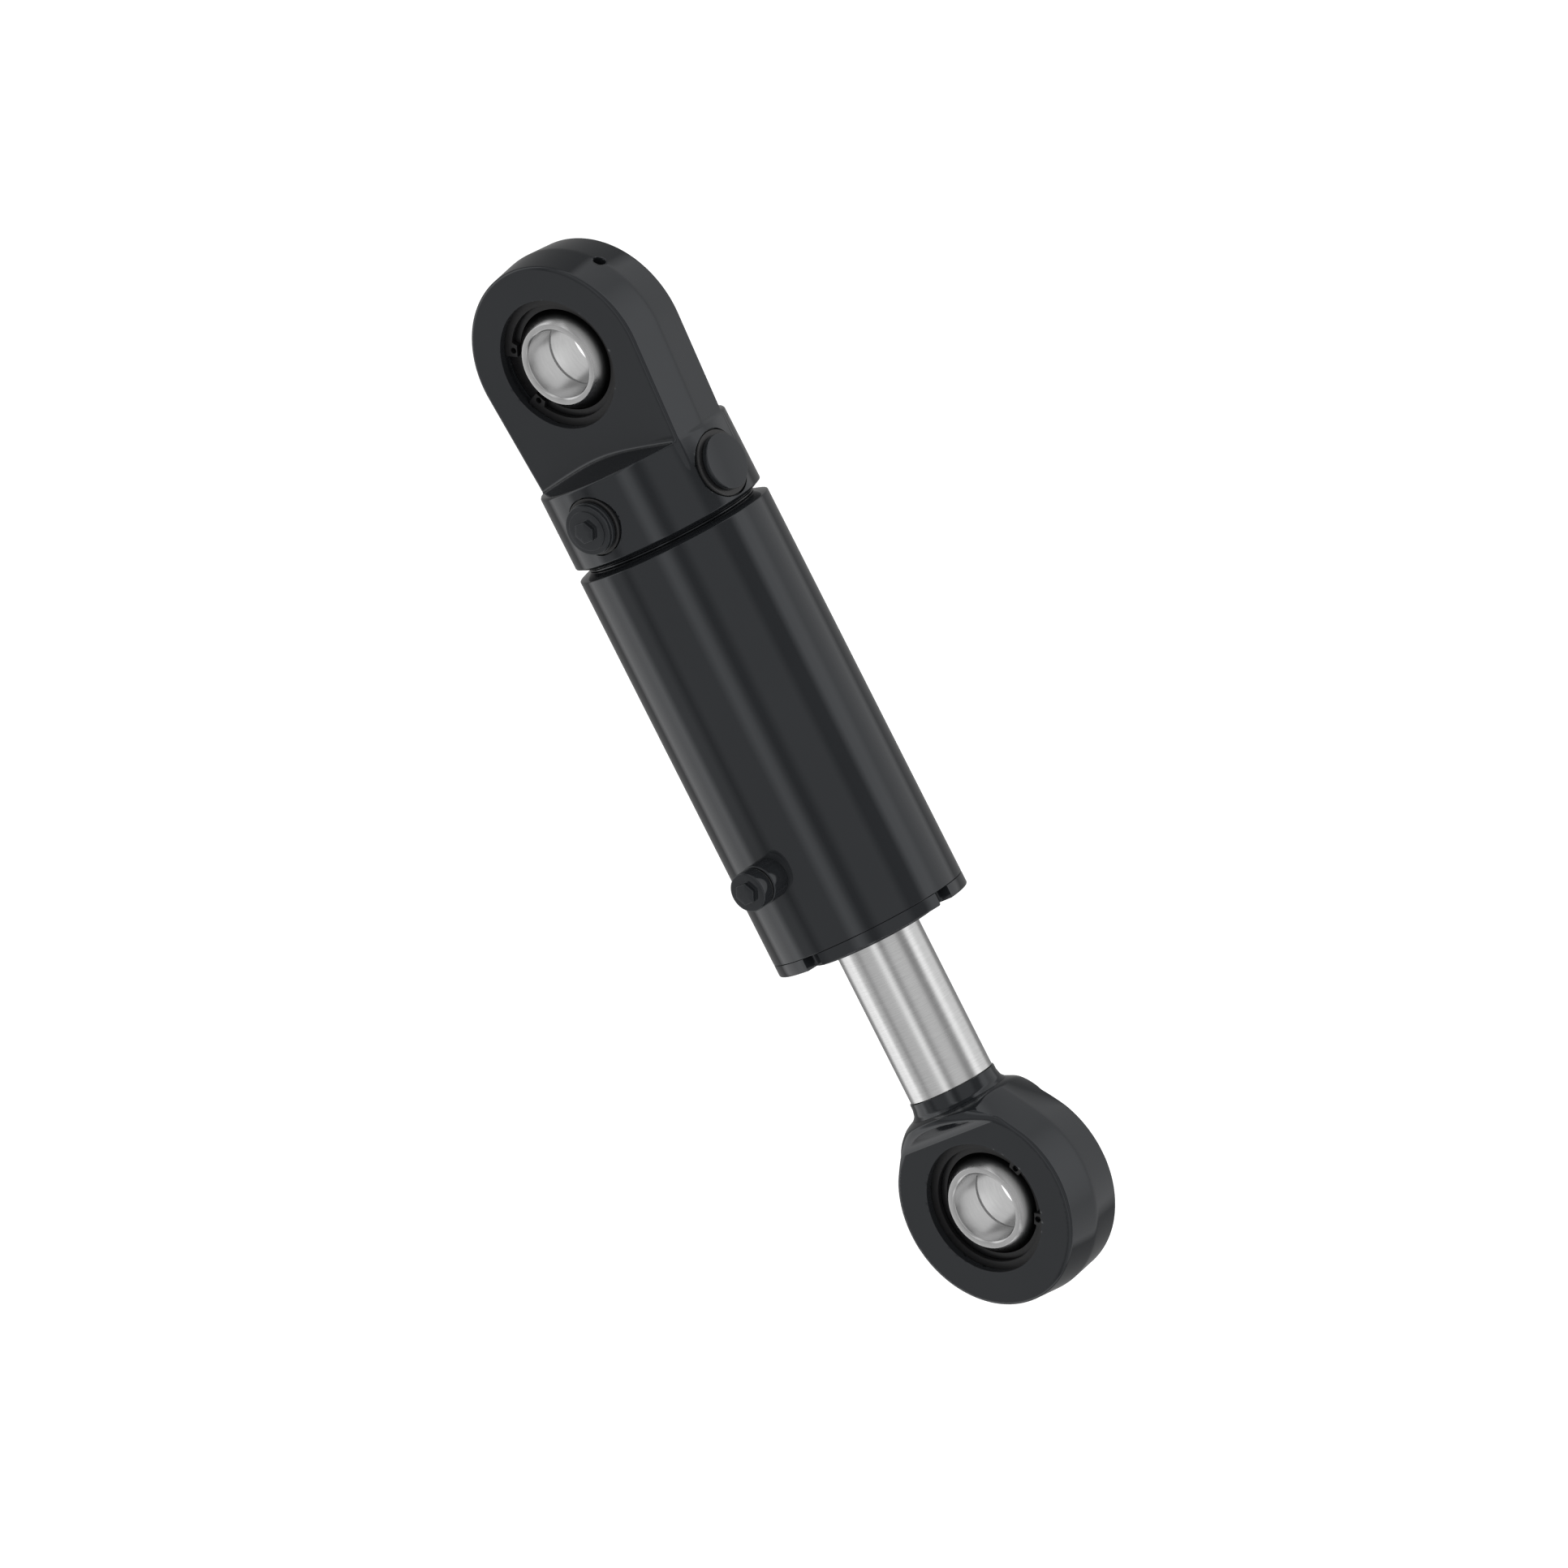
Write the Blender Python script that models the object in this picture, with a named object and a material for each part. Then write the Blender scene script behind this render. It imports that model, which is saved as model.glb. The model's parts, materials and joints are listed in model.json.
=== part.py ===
"""A short double-acting hydraulic cylinder with a spherical plain bearing in each eye.

The origin is the centre of the cap-end bearing. +X runs along the cylinder from the cap end to the
rod end, +Y runs along both bearing bores, and +Z is up. It stands at part stroke, as it is stored.
"""

import math

import bmesh
import bpy
from mathutils import Matrix, Vector

MM = 0.001  # every dimension below is in millimetres, and meshes are in metres
GAP = 0.3  # clearance between solids that touch
PAST = 2.0  # how far a cutter runs past the face that it opens

# Spherical plain bearings, heavy series, 25 mm bore.
PIN_BORE = 12.5
RING_HALF_WIDTH = 14.0
BALL_RADIUS = 20.35
RACE_HALF_WIDTH = 9.0
RACE_RADIUS = 23.4
CIRCLIP_THICKNESS = 1.75
CIRCLIP_RADIUS = 24.4
CIRCLIP_BORE = 20.9
CIRCLIP_LUG_RADIUS = 18.7
CIRCLIP_GAP_ANGLE = math.radians(22)
CIRCLIP_LUG_ANGLE = math.radians(13)
PLIER_HOLE = 1.1

# Eyes, which are 28 mm thick with a forged double-draft rim.
EYE_CENTRES = 326.35
EYE_HALF_WIDTH = 14.0
EYE_RADIUS = 35.9
EYE_CREST = 37.3
EYE_EDGE = 1.0
HOUSING_BORE = RACE_RADIUS + GAP
CAP_FLANK_TAPER = math.radians(4.1)
ROD_FLANK_TAPER = math.radians(34.3)
OIL_HOLE = 2.25

# Cap end.
COLLAR_RADIUS = 35.35
COLLAR_START = 39.7
COLLAR_END = 67.2
BEVEL_END = 69.3
CAP_FLANK_END = 52.0
SHELF_SLOPE = math.tan(math.radians(11))
WELD_ROOT = 31.0
SPIGOT_END = 78.0
GALLERY_RADIUS = 6.0
GALLERY_START = 46.5

# Barrel.
BORE = 30.0
BARREL_RADIUS = 36.0
BARREL_START = 69.9
BARREL_END = 219.8
THREAD_RADIUS = 32.0
THREAD_START = 203.6

# Gland, which screws into the barrel's mouth.
GLAND_NOSE = 184.3
GLAND_NOSE_RADIUS = 26.5
GLAND_LAND = 195.0
GLAND_RIM_END = 224.5
GLAND_END = 226.5
GLAND_HUB = 24.0
O_RING_GROOVE = (196.2, 201.0)
GUIDE_GROOVE = (187.0, 195.0)
ROD_SEAL_GROOVE = (198.0, 205.0)
WIPER_SEAT = 217.0
WIPER_SEAT_RADIUS = 20.0
SLOT_WIDTH = 7.2
SLOT_DEPTH = 5.6
SLOTS = 4

# Rod, piston and rod eye.
ROD_RADIUS = 15.5
ROD_WELD_START = 284.2
ROD_PILOT = 13.0
ROD_PILOT_END = 297.0
SHOULDER_START = 290.3
SHOULDER_END = 291.9
SHOULDER_RADIUS = 21.6
FLATS_START = 299.4
PISTON_BACK = 129.0
PISTON_FRONT = 157.0
PISTON_RADIUS = 29.6
PISTON_SEAT = 12.0
PISTON_GROOVE = 27.2
NUT_RECESS = 19.5
NUT_RECESS_END = 143.0
NUT_RADIUS = 17.3
PISTON_RING_GROOVES = ((131.0, 137.0), (149.0, 155.0))
PISTON_SEAL_GROOVE = (139.7, 146.3)
PISTON_SEAL_SEAT = 24.0
PISTON_O_RING_GROOVE = (148.4, 151.6)

# Oil ports and their plugs, as distances out from the cylinder's axis.
CAP_PORT_X = 53.8
CAP_PORT_BORE = 6.5
CAP_SPOT_FACE = 33.6
CAP_SPOT_RADIUS = 11.2
CAP_PLUG_FACE = 39.7
SIDE_PORT_X = 54.4
SIDE_PORT_BORE = 8.5
SIDE_SPOT_FACE = 33.3
SIDE_SPOT_RADIUS = 12.6
SIDE_PLUG_FACE = 37.3
ROD_PORT_X = 189.4
ROD_PORT_BORE = 4.9
ROD_BOSS_RADIUS = 7.3
ROD_BOSS_TOP = 43.6
ROD_PLUG_FACE = 49.8
DRILL_RADIUS = 4.0
HEX_RADIUS = 4.1
HEX_HEIGHT = 1.75

STEPS = 28
FINE_STEPS = 20

ALONG_Y = Matrix.Rotation(math.radians(90), 4, "Z")
TOWARD_FRONT = Matrix.Rotation(math.radians(-90), 4, "Z")
UPWARD = Matrix.Rotation(math.radians(-90), 4, "Y")


def clear_scene():
    for item in list(bpy.data.objects):
        bpy.data.objects.remove(item, do_unlink=True)


def finish_material(name, colour, roughness, metallic):
    material = bpy.data.materials.new(name)
    material.use_nodes = True
    shader = material.node_tree.nodes["Principled BSDF"]
    shader.inputs["Base Color"].default_value = (*colour, 1.0)
    shader.inputs["Roughness"].default_value = roughness
    shader.inputs["Metallic"].default_value = metallic
    material.diffuse_color = (*colour, 1.0)
    return material


def group(name, x=0.0, parent=None):
    """An empty on a joint's axis, which carries the pieces that move together."""
    empty = bpy.data.objects.new(name, None)
    empty.empty_display_size = 0.02
    empty.location = (x * MM, 0.0, 0.0)
    empty.parent = parent
    bpy.context.scene.collection.objects.link(empty)
    return empty


def place(name, bm, material=None, turn=None, x=0.0, parent=None):
    """Makes an object from a bmesh, turned and set at x along the cylinder."""
    bmesh.ops.recalc_face_normals(bm, faces=bm.faces)
    mesh = bpy.data.meshes.new(name)
    bm.to_mesh(mesh)
    bm.free()
    mesh.shade_smooth()
    mesh.set_sharp_from_angle(angle=math.radians(30))
    item = bpy.data.objects.new(name, mesh)
    if material is not None:
        mesh.materials.append(material)
    item.parent = parent
    start = parent.location.x if parent else 0.0
    item.location = (x * MM - start, 0.0, 0.0)
    if turn is not None:
        item.rotation_euler = turn.to_euler()
    bpy.context.scene.collection.objects.link(item)
    return item


def turned(outline, steps=STEPS):
    """Spins an outline of (along, radius) points once about the local X axis.

    An outline that starts and ends at radius 0 makes a solid of revolution, and any other one is
    closed and makes a ring.
    """
    bm = bmesh.new()
    points = [bm.verts.new((along * MM, radius * MM, 0.0)) for along, radius in outline]
    edges = [bm.edges.new(pair) for pair in zip(points, points[1:])]
    if outline[0][1] > 0:
        edges.append(bm.edges.new((points[-1], points[0])))
    bmesh.ops.spin(
        bm, geom=points + edges, cent=(0, 0, 0), axis=(1, 0, 0), angle=math.tau, steps=steps,
        use_merge=True,
    )
    bmesh.ops.remove_doubles(bm, verts=bm.verts, dist=1e-7)
    return bm


def prism(outline, low, high):
    """Extrudes an outline of (x, z) points from low to high along Y."""
    bm = bmesh.new()
    base = bm.faces.new([bm.verts.new((x * MM, low * MM, z * MM)) for x, z in outline])
    grown = bmesh.ops.extrude_face_region(bm, geom=[base])["geom"]
    moved = [item for item in grown if isinstance(item, bmesh.types.BMVert)]
    bmesh.ops.translate(bm, vec=(0, (high - low) * MM, 0), verts=moved)
    return bm


def arc(radius, first, last, steps):
    """Points (cos, sin) along an arc, both ends included."""
    angles = [first + (last - first) * i / steps for i in range(steps + 1)]
    return [(radius * math.cos(a), radius * math.sin(a)) for a in angles]


def combine(item, other, operation):
    """Joins, cuts or intersects a piece with a helper, which is hidden."""
    modifier = item.modifiers.new(other.name, "BOOLEAN")
    modifier.operation = operation
    modifier.solver = "EXACT"
    modifier.object = other
    other.hide_render = True
    other.display_type = "WIRE"


def disc(start, end, radius, steps=FINE_STEPS):
    """A plain round bar."""
    return turned([(start, 0.0), (start, radius), (end, radius), (end, 0.0)], steps)


def washer(start, end, inner, outer, steps=FINE_STEPS):
    """A ring of rectangular section."""
    return turned([(start, inner), (start, outer), (end, outer), (end, inner)], steps)


def cord_ring(centre, middle, thickness, steps=FINE_STEPS, sides=6):
    """An O-ring."""
    outline = [(centre + a, middle + b) for a, b in arc(thickness, 0.0, math.tau, sides)[:-1]]
    return turned(outline, steps)


def sphere_arc(radius, half_width, steps):
    """(along, radius) points over a sphere's belt, from -half_width to half_width."""
    lean = math.asin(half_width / radius)
    return [(s, c) for c, s in arc(radius, -lean, lean, steps)]


def eye_outline(radius, taper, reach):
    """A round end whose two flanks leave it at a tangent and run in to reach, as (x, z)."""
    start = math.pi / 2 - taper
    half = (radius - reach * math.sin(taper)) / math.cos(taper)
    return arc(radius, start, math.tau - start, 22) + [(reach, -half), (reach, half)]


def eye_blank(taper, reach, levels):
    """Lofts the outline of an eye through levels of (y, radius), for the double-draft rim."""
    bm = bmesh.new()
    loops = []
    for y, radius in levels:
        outline = eye_outline(radius, taper, reach)
        loops.append([bm.verts.new((x * MM, y * MM, z * MM)) for x, z in outline])
    count = len(loops[0])
    for low, high in zip(loops, loops[1:]):
        for i in range(count):
            bm.faces.new((low[i], low[(i + 1) % count], high[(i + 1) % count], high[i]))
    bm.faces.new(loops[0])
    bm.faces.new(loops[-1])
    return bm


def housing_cutter(name, x):
    """Opens an eye for its bearing, with a groove for each circlip."""
    groove = CIRCLIP_RADIUS + 0.35
    inner = RACE_HALF_WIDTH + 0.05
    outer = RACE_HALF_WIDTH + CIRCLIP_THICKNESS + 2 * GAP
    end = EYE_HALF_WIDTH + PAST
    half = [(end, 0.0), (end, HOUSING_BORE), (outer, HOUSING_BORE), (outer, groove)]
    half += [(inner, groove), (inner, HOUSING_BORE)]
    outline = [(-along, radius) for along, radius in half] + half[::-1]
    return place(name, turned(outline), turn=ALONG_Y, x=x)


def bearing(prefix, x, race_parent, ball_parent, steel, oxide, spring, lug_angle):
    """One spherical plain bearing: race, ball and the two circlips that hold it."""
    belt = sphere_arc(BALL_RADIUS + GAP, RACE_HALF_WIDTH, 6)
    groove = [(1.6, RACE_RADIUS), (1.1, RACE_RADIUS - 0.9)]
    groove += [(-along, radius) for along, radius in groove[::-1]]
    shell = [(RACE_HALF_WIDTH, RACE_RADIUS - 0.6), (RACE_HALF_WIDTH - 0.6, RACE_RADIUS)]
    outer = shell + groove + [(-along, radius) for along, radius in shell[::-1]]
    place(f"{prefix}_bearing_race", turned(belt + outer), oxide, ALONG_Y, x, race_parent)

    slot = [(1.0, PIN_BORE), (0.8, PIN_BORE + 0.6)]
    bore = [(RING_HALF_WIDTH, PIN_BORE + 0.6), (RING_HALF_WIDTH - 0.6, PIN_BORE)] + slot
    bore += [(-along, radius) for along, radius in bore[::-1]]
    ball = sphere_arc(BALL_RADIUS, RING_HALF_WIDTH, 8) + bore
    place(f"{prefix}_bearing_ball", turned(ball), steel, ALONG_Y, x, ball_parent)

    start = RACE_HALF_WIDTH + GAP
    for side, low in (("front", -start - CIRCLIP_THICKNESS), ("rear", start)):
        plate = prism(circlip_outline(lug_angle), low, low + CIRCLIP_THICKNESS)
        clip = place(f"{prefix}_circlip_{side}", plate, spring, x=x, parent=race_parent)
        middle = CIRCLIP_GAP_ANGLE + CIRCLIP_LUG_ANGLE / 2
        for number, angle in enumerate((lug_angle - middle, lug_angle + middle)):
            radius = (CIRCLIP_LUG_RADIUS + CIRCLIP_BORE) / 2 + 0.4
            hole = arc(PLIER_HOLE, 0.0, math.tau, 8)[:-1]
            where = (radius * math.cos(angle), radius * math.sin(angle))
            hole = [(a + where[0], b + where[1]) for a, b in hole]
            drill = prism(hole, low - PAST, low + CIRCLIP_THICKNESS + PAST)
            combine(clip, place(f"{clip.name}_hole_{number}", drill, x=x), "DIFFERENCE")


def circlip_outline(lug_angle):
    """An internal circlip whose gap faces lug_angle, with a lug for the pliers at each end."""
    first = lug_angle + CIRCLIP_GAP_ANGLE
    last = lug_angle + math.tau - CIRCLIP_GAP_ANGLE
    lug = CIRCLIP_LUG_ANGLE
    outline = arc(CIRCLIP_RADIUS, first, last, 22)
    outline += arc(CIRCLIP_LUG_RADIUS, last, last - lug, 2)
    outline += arc(CIRCLIP_BORE, last - lug, first + lug, 20)
    outline += arc(CIRCLIP_LUG_RADIUS, first + lug, first, 2)
    return outline


def hexagon(radius, lean, low, high):
    """A hexagon bar along the local X axis, with its corners turned by lean."""
    bm = prism(arc(radius, lean, lean + math.tau, 6)[:-1], low, high)
    bm.transform(Matrix.Rotation(math.radians(-90), 4, "Z"))
    return bm


def hex_head(plug, x, face):
    """Stands a hexagon for the spanner on a plug's face."""
    bm = hexagon(HEX_RADIUS, math.radians(30), face - 1.0, face + HEX_HEIGHT)
    combine(plug, place(f"{plug.name}_hexagon", bm, turn=TOWARD_FRONT, x=x), "UNION")


def port_cutter(thread_start, thread, spot_face, spot_radius):
    """Drills out from the gallery, and opens the thread and the seal's spot face."""
    past = COLLAR_RADIUS + 5 * PAST
    return turned([
        (0.0, 0.0), (0.0, DRILL_RADIUS), (thread_start, DRILL_RADIUS), (thread_start, thread),
        (spot_face, thread), (spot_face, spot_radius), (past, spot_radius), (past, 0.0),
    ], FINE_STEPS)


def build_cap_end(paint):
    shelf = COLLAR_START - COLLAR_RADIUS * SHELF_SLOPE
    collar = turned([
        (shelf, 0.0), (COLLAR_START, COLLAR_RADIUS - 0.9), (COLLAR_START + 0.8, COLLAR_RADIUS),
        (COLLAR_END, COLLAR_RADIUS), (BEVEL_END, WELD_ROOT), (BARREL_START, BORE - GAP),
        (SPIGOT_END - 0.6, BORE - GAP), (SPIGOT_END, BORE - GAP - 0.6),
        (SPIGOT_END, GALLERY_RADIUS), (GALLERY_START + 3.0, GALLERY_RADIUS), (GALLERY_START, 0.0),
    ])
    cap = place("cap_end", collar, paint)
    edge = EYE_HALF_WIDTH - EYE_EDGE
    levels = [(-EYE_HALF_WIDTH, EYE_RADIUS - EYE_EDGE), (-edge, EYE_RADIUS), (0.0, EYE_CREST),
              (edge, EYE_RADIUS), (EYE_HALF_WIDTH, EYE_RADIUS - EYE_EDGE)]
    blank = eye_blank(CAP_FLANK_TAPER, CAP_FLANK_END, levels)
    combine(cap, place("cap_eye_blank", blank), "UNION")
    combine(cap, housing_cutter("cap_housing", 0.0), "DIFFERENCE")
    front = port_cutter(18.0, CAP_PORT_BORE, CAP_SPOT_FACE, CAP_SPOT_RADIUS)
    combine(cap, place("cap_port_cut", front, turn=TOWARD_FRONT, x=CAP_PORT_X), "DIFFERENCE")
    side = port_cutter(20.0, SIDE_PORT_BORE, SIDE_SPOT_FACE, SIDE_SPOT_RADIUS)
    combine(cap, place("side_port_cut", side, turn=UPWARD, x=SIDE_PORT_X), "DIFFERENCE")
    away = Matrix.Rotation(math.radians(-135), 4, "Y")
    drill = disc(HOUSING_BORE - 3.0, EYE_CREST + PAST, OIL_HOLE, 16)
    combine(cap, place("oil_hole", drill, turn=away), "DIFFERENCE")


def build_barrel(paint):
    tube = turned([
        (BARREL_START, BORE), (BARREL_START, WELD_ROOT), (71.4, BARREL_RADIUS - 0.5),
        (71.9, BARREL_RADIUS), (BARREL_END - 0.3, BARREL_RADIUS),
        (BARREL_END, BARREL_RADIUS - 0.3), (BARREL_END, THREAD_RADIUS),
        (THREAD_START, THREAD_RADIUS), (THREAD_START - 1.6, BORE),
    ])
    barrel = place("barrel_tube", tube, paint)
    hole = disc(BORE - 5.0, BARREL_RADIUS + PAST, ROD_PORT_BORE, FINE_STEPS)
    combine(barrel, place("rod_port_cut", hole, turn=TOWARD_FRONT, x=ROD_PORT_X), "DIFFERENCE")
    bead = turned([(69.45, 31.35), (68.9, 32.6), (69.6, 33.1), (70.1, 32.6), (69.75, 31.35)])
    place("cap_weld", bead, paint)


def build_gland(paint, rubber, urethane, guide):
    rim = BARREL_END + GAP
    thread = THREAD_RADIUS - GAP
    land = BORE - GAP
    bore = ROD_RADIUS + 0.4
    seat = 27.0
    groove, groove_end = O_RING_GROOVE
    body = place("gland", turned([
        (GLAND_NOSE, bore), (GLAND_NOSE, GLAND_NOSE_RADIUS), (GLAND_LAND, GLAND_NOSE_RADIUS),
        (GLAND_LAND, land), (groove, land), (groove, seat), (groove_end, seat), (groove_end, land),
        (THREAD_START - 1.9, land), (THREAD_START + 0.2, thread), (rim, thread),
        (rim, BARREL_RADIUS - 0.3), (rim + 0.3, BARREL_RADIUS), (GLAND_RIM_END - 0.6, BARREL_RADIUS),
        (GLAND_RIM_END, BARREL_RADIUS - 0.6), (GLAND_RIM_END, GLAND_HUB),
        (GLAND_END, GLAND_HUB - 0.8), (GLAND_END, WIPER_SEAT_RADIUS),
        (WIPER_SEAT, WIPER_SEAT_RADIUS), (WIPER_SEAT, bore),
        (ROD_SEAL_GROOVE[1], bore), (ROD_SEAL_GROOVE[1], 21.0), (ROD_SEAL_GROOVE[0], 21.0),
        (ROD_SEAL_GROOVE[0], bore), (GUIDE_GROOVE[1], bore), (GUIDE_GROOVE[1], 18.3),
        (GUIDE_GROOVE[0], 18.3), (GUIDE_GROOVE[0], bore),
    ]), paint)
    for number in range(SLOTS):
        half = SLOT_WIDTH / 2
        inner = BARREL_RADIUS - SLOT_DEPTH
        notch = prism([(rim - 0.15, -half), (rim - 0.15, half), (GLAND_RIM_END + PAST, half),
                       (GLAND_RIM_END + PAST, -half)], inner, BARREL_RADIUS + PAST)
        quarter = Matrix.Rotation(number * math.tau / SLOTS, 4, "X")
        combine(body, place(f"gland_slot_{number}", notch, turn=quarter), "DIFFERENCE")
    lip = ROD_RADIUS + 0.3
    place("gland_o_ring", cord_ring(groove + 1.7, 28.5, 1.2, STEPS), rubber)
    backup = washer(groove_end - 1.5, groove_end - GAP, seat + GAP, land, STEPS)
    place("gland_backup_ring", backup, guide)
    start, end = GUIDE_GROOVE
    place("rod_guide_ring", washer(start + GAP, end - GAP, lip, 18.0), guide)
    start, end = ROD_SEAL_GROOVE[0] + GAP, ROD_SEAL_GROOVE[1] - GAP
    place("rod_seal", turned([
        (start, 16.4), (start, 17.4), (start + 2.7, 18.2), (start, 19.2), (start, 20.7),
        (end, 20.7), (end, lip), (start + 0.7, lip),
    ], FINE_STEPS), urethane)
    back = WIPER_SEAT + GAP
    rim = WIPER_SEAT_RADIUS - GAP
    place("rod_wiper", turned([
        (back, lip), (back, rim), (GLAND_END - GAP, rim), (GLAND_END - GAP, 17.6),
        (GLAND_END + 0.7, 16.3), (GLAND_END + 0.5, lip), (GLAND_END - 1.3, lip),
        (GLAND_END - 3.0, 16.9), (back + 2.2, 16.9), (back + 1.5, lip),
    ], FINE_STEPS), rubber)


def build_ports(paint, rubber):
    face = CAP_PLUG_FACE
    shank = CAP_PORT_BORE - GAP
    plug = place("cap_port_plug", turned([
        (20.5, 0.0), (20.5, shank - 0.8), (21.3, shank), (face - 4.0, shank), (face - 4.0, 9.4),
        (face - 2.4, 9.4), (face - 2.2, 9.1), (face - 0.9, 9.1), (face - 0.6, 8.8),
        (face - 0.6, 7.2), (face, 7.2), (face, 0.0),
    ], FINE_STEPS), paint, TOWARD_FRONT, CAP_PORT_X)
    hex_head(plug, CAP_PORT_X, face)
    ring = washer(CAP_SPOT_FACE + GAP, face - 4.3, CAP_PORT_BORE + 0.1, 10.4)
    place("cap_port_seal", ring, rubber, TOWARD_FRONT, CAP_PORT_X)

    face = SIDE_PLUG_FACE
    shank = SIDE_PORT_BORE - GAP
    place("side_port_plug", turned([
        (22.5, 0.0), (22.5, shank - 0.8), (23.3, shank), (face - 2.1, shank), (face - 2.1, 10.0),
        (face - 0.3, 10.0), (face, 9.7), (face, 0.0),
    ], FINE_STEPS), paint, UPWARD, SIDE_PORT_X)
    ring = washer(SIDE_SPOT_FACE + GAP, face - 2.4, SIDE_PORT_BORE + 0.1, 12.0)
    place("side_port_seal", ring, rubber, UPWARD, SIDE_PORT_X)

    boss = place("rod_port_boss", turned([
        (33.0, ROD_PORT_BORE), (33.0, ROD_BOSS_RADIUS), (ROD_BOSS_TOP - 0.4, ROD_BOSS_RADIUS),
        (ROD_BOSS_TOP, ROD_BOSS_RADIUS - 0.4), (ROD_BOSS_TOP, ROD_PORT_BORE),
    ], FINE_STEPS), paint, TOWARD_FRONT, ROD_PORT_X)
    saddle = disc(ROD_PORT_X - 20.0, ROD_PORT_X + 20.0, BARREL_RADIUS + GAP, STEPS)
    combine(boss, place("rod_boss_saddle", saddle), "DIFFERENCE")
    face = ROD_PLUG_FACE
    shank = ROD_PORT_BORE - GAP
    head = ROD_BOSS_TOP + 1.1
    plug = place("rod_port_plug", turned([
        (31.0, 0.0), (31.0, shank - 0.6), (31.6, shank), (head, shank), (head, 7.1),
        (face - 0.4, 7.1), (face, 6.7), (face, 0.0),
    ], FINE_STEPS), paint, TOWARD_FRONT, ROD_PORT_X)
    hex_head(plug, ROD_PORT_X, face)
    ring = washer(ROD_BOSS_TOP + GAP, head - GAP, ROD_PORT_BORE, 6.8)
    place("rod_port_seal", ring, rubber, TOWARD_FRONT, ROD_PORT_X)


def build_rod(chrome, steel, paint, rubber, parent):
    place("piston_rod", turned([
        (130.5, 0.0), (130.5, PISTON_SEAT - 0.8), (131.3, PISTON_SEAT),
        (PISTON_FRONT + GAP, PISTON_SEAT), (PISTON_FRONT + GAP, ROD_RADIUS - 0.8),
        (PISTON_FRONT + 1.8, ROD_RADIUS), (ROD_WELD_START - GAP, ROD_RADIUS),
        (ROD_WELD_START - GAP, ROD_PILOT), (ROD_PILOT_END, ROD_PILOT), (ROD_PILOT_END, 0.0),
    ]), chrome, parent=parent)
    bead_end = SHOULDER_START - GAP
    inner = ROD_PILOT + GAP
    place("rod_weld", turned([
        (ROD_WELD_START, inner), (ROD_WELD_START, 15.8), (ROD_WELD_START + 0.3, 16.0),
        (286.8, 16.15), (288.6, 16.7), (bead_end, 17.7), (bead_end, inner),
    ]), paint, parent=parent)

    reach = EYE_CENTRES - SHOULDER_START + PAST
    drafted = EYE_CREST - (EYE_CREST - EYE_RADIUS) * SHOULDER_RADIUS / EYE_HALF_WIDTH
    levels = [(-SHOULDER_RADIUS - 0.5, drafted), (0.0, EYE_CREST), (SHOULDER_RADIUS + 0.5, drafted)]
    blank = eye_blank(ROD_FLANK_TAPER, reach, levels)
    blank.transform(Matrix.Scale(-1.0, 4, Vector((1.0, 0.0, 0.0))))
    eye = place("rod_eye", blank, paint, x=EYE_CENTRES, parent=parent)
    flare_end = SHOULDER_END + 26.0
    shank = turned([
        (SHOULDER_START, 0.0), (SHOULDER_START, 18.0), (SHOULDER_END, SHOULDER_RADIUS),
        (flare_end, SHOULDER_RADIUS + 26.0), (EYE_CENTRES + 45.0, SHOULDER_RADIUS + 26.0),
        (EYE_CENTRES + 45.0, 0.0),
    ])
    combine(eye, place("rod_eye_shank", shank), "INTERSECT")
    flats = [(SHOULDER_START - PAST, SHOULDER_RADIUS + PAST),
             (SHOULDER_END - PAST / 2, SHOULDER_RADIUS + PAST / 2),
             (FLATS_START, EYE_HALF_WIDTH), (EYE_CENTRES + 40.0, EYE_HALF_WIDTH)]
    sides = flats + [(x, -y) for x, y in flats[::-1]]
    bm = prism(sides, -45.0, 45.0)
    bm.transform(Matrix.Rotation(math.radians(90), 4, "X"))
    combine(eye, place("rod_eye_flats", bm), "INTERSECT")
    combine(eye, housing_cutter("rod_housing", EYE_CENTRES), "DIFFERENCE")
    socket = disc(SHOULDER_START - PAST, ROD_PILOT_END + 0.5, inner)
    combine(eye, place("rod_pilot_cut", socket), "DIFFERENCE")

    seat = PISTON_SEAT + GAP
    outer = PISTON_RADIUS
    rear, front = PISTON_RING_GROOVES
    middle, middle_end = PISTON_SEAL_GROOVE
    static, static_end = PISTON_O_RING_GROOVE
    place("piston", turned([
        (PISTON_BACK, NUT_RECESS), (PISTON_BACK, outer - 1.0), (PISTON_BACK + 1.0, outer),
        (rear[0], outer), (rear[0], PISTON_GROOVE), (rear[1], PISTON_GROOVE), (rear[1], outer),
        (middle, outer), (middle, PISTON_SEAL_SEAT), (middle_end, PISTON_SEAL_SEAT),
        (middle_end, outer), (front[0], outer), (front[0], PISTON_GROOVE),
        (front[1], PISTON_GROOVE), (front[1], outer), (PISTON_FRONT - 1.0, outer),
        (PISTON_FRONT, outer - 1.0), (PISTON_FRONT, seat), (static_end, seat),
        (static_end, 14.7), (static, 14.7), (static, seat),
        (NUT_RECESS_END, seat), (NUT_RECESS_END, NUT_RECESS),
    ]), steel, parent=parent)
    nut = hexagon(NUT_RADIUS, 0.0, NUT_RECESS_END - 11.2, NUT_RECESS_END - GAP)
    nut = place("piston_nut", nut, steel, parent=parent)
    bore = disc(PISTON_BACK - 1.0, NUT_RECESS_END + PAST, seat)
    combine(nut, place("nut_bore", bore), "DIFFERENCE")
    centre = (static + static_end) / 2
    place("piston_o_ring", cord_ring(centre, 13.35, 1.05), rubber, parent=parent)


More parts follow.
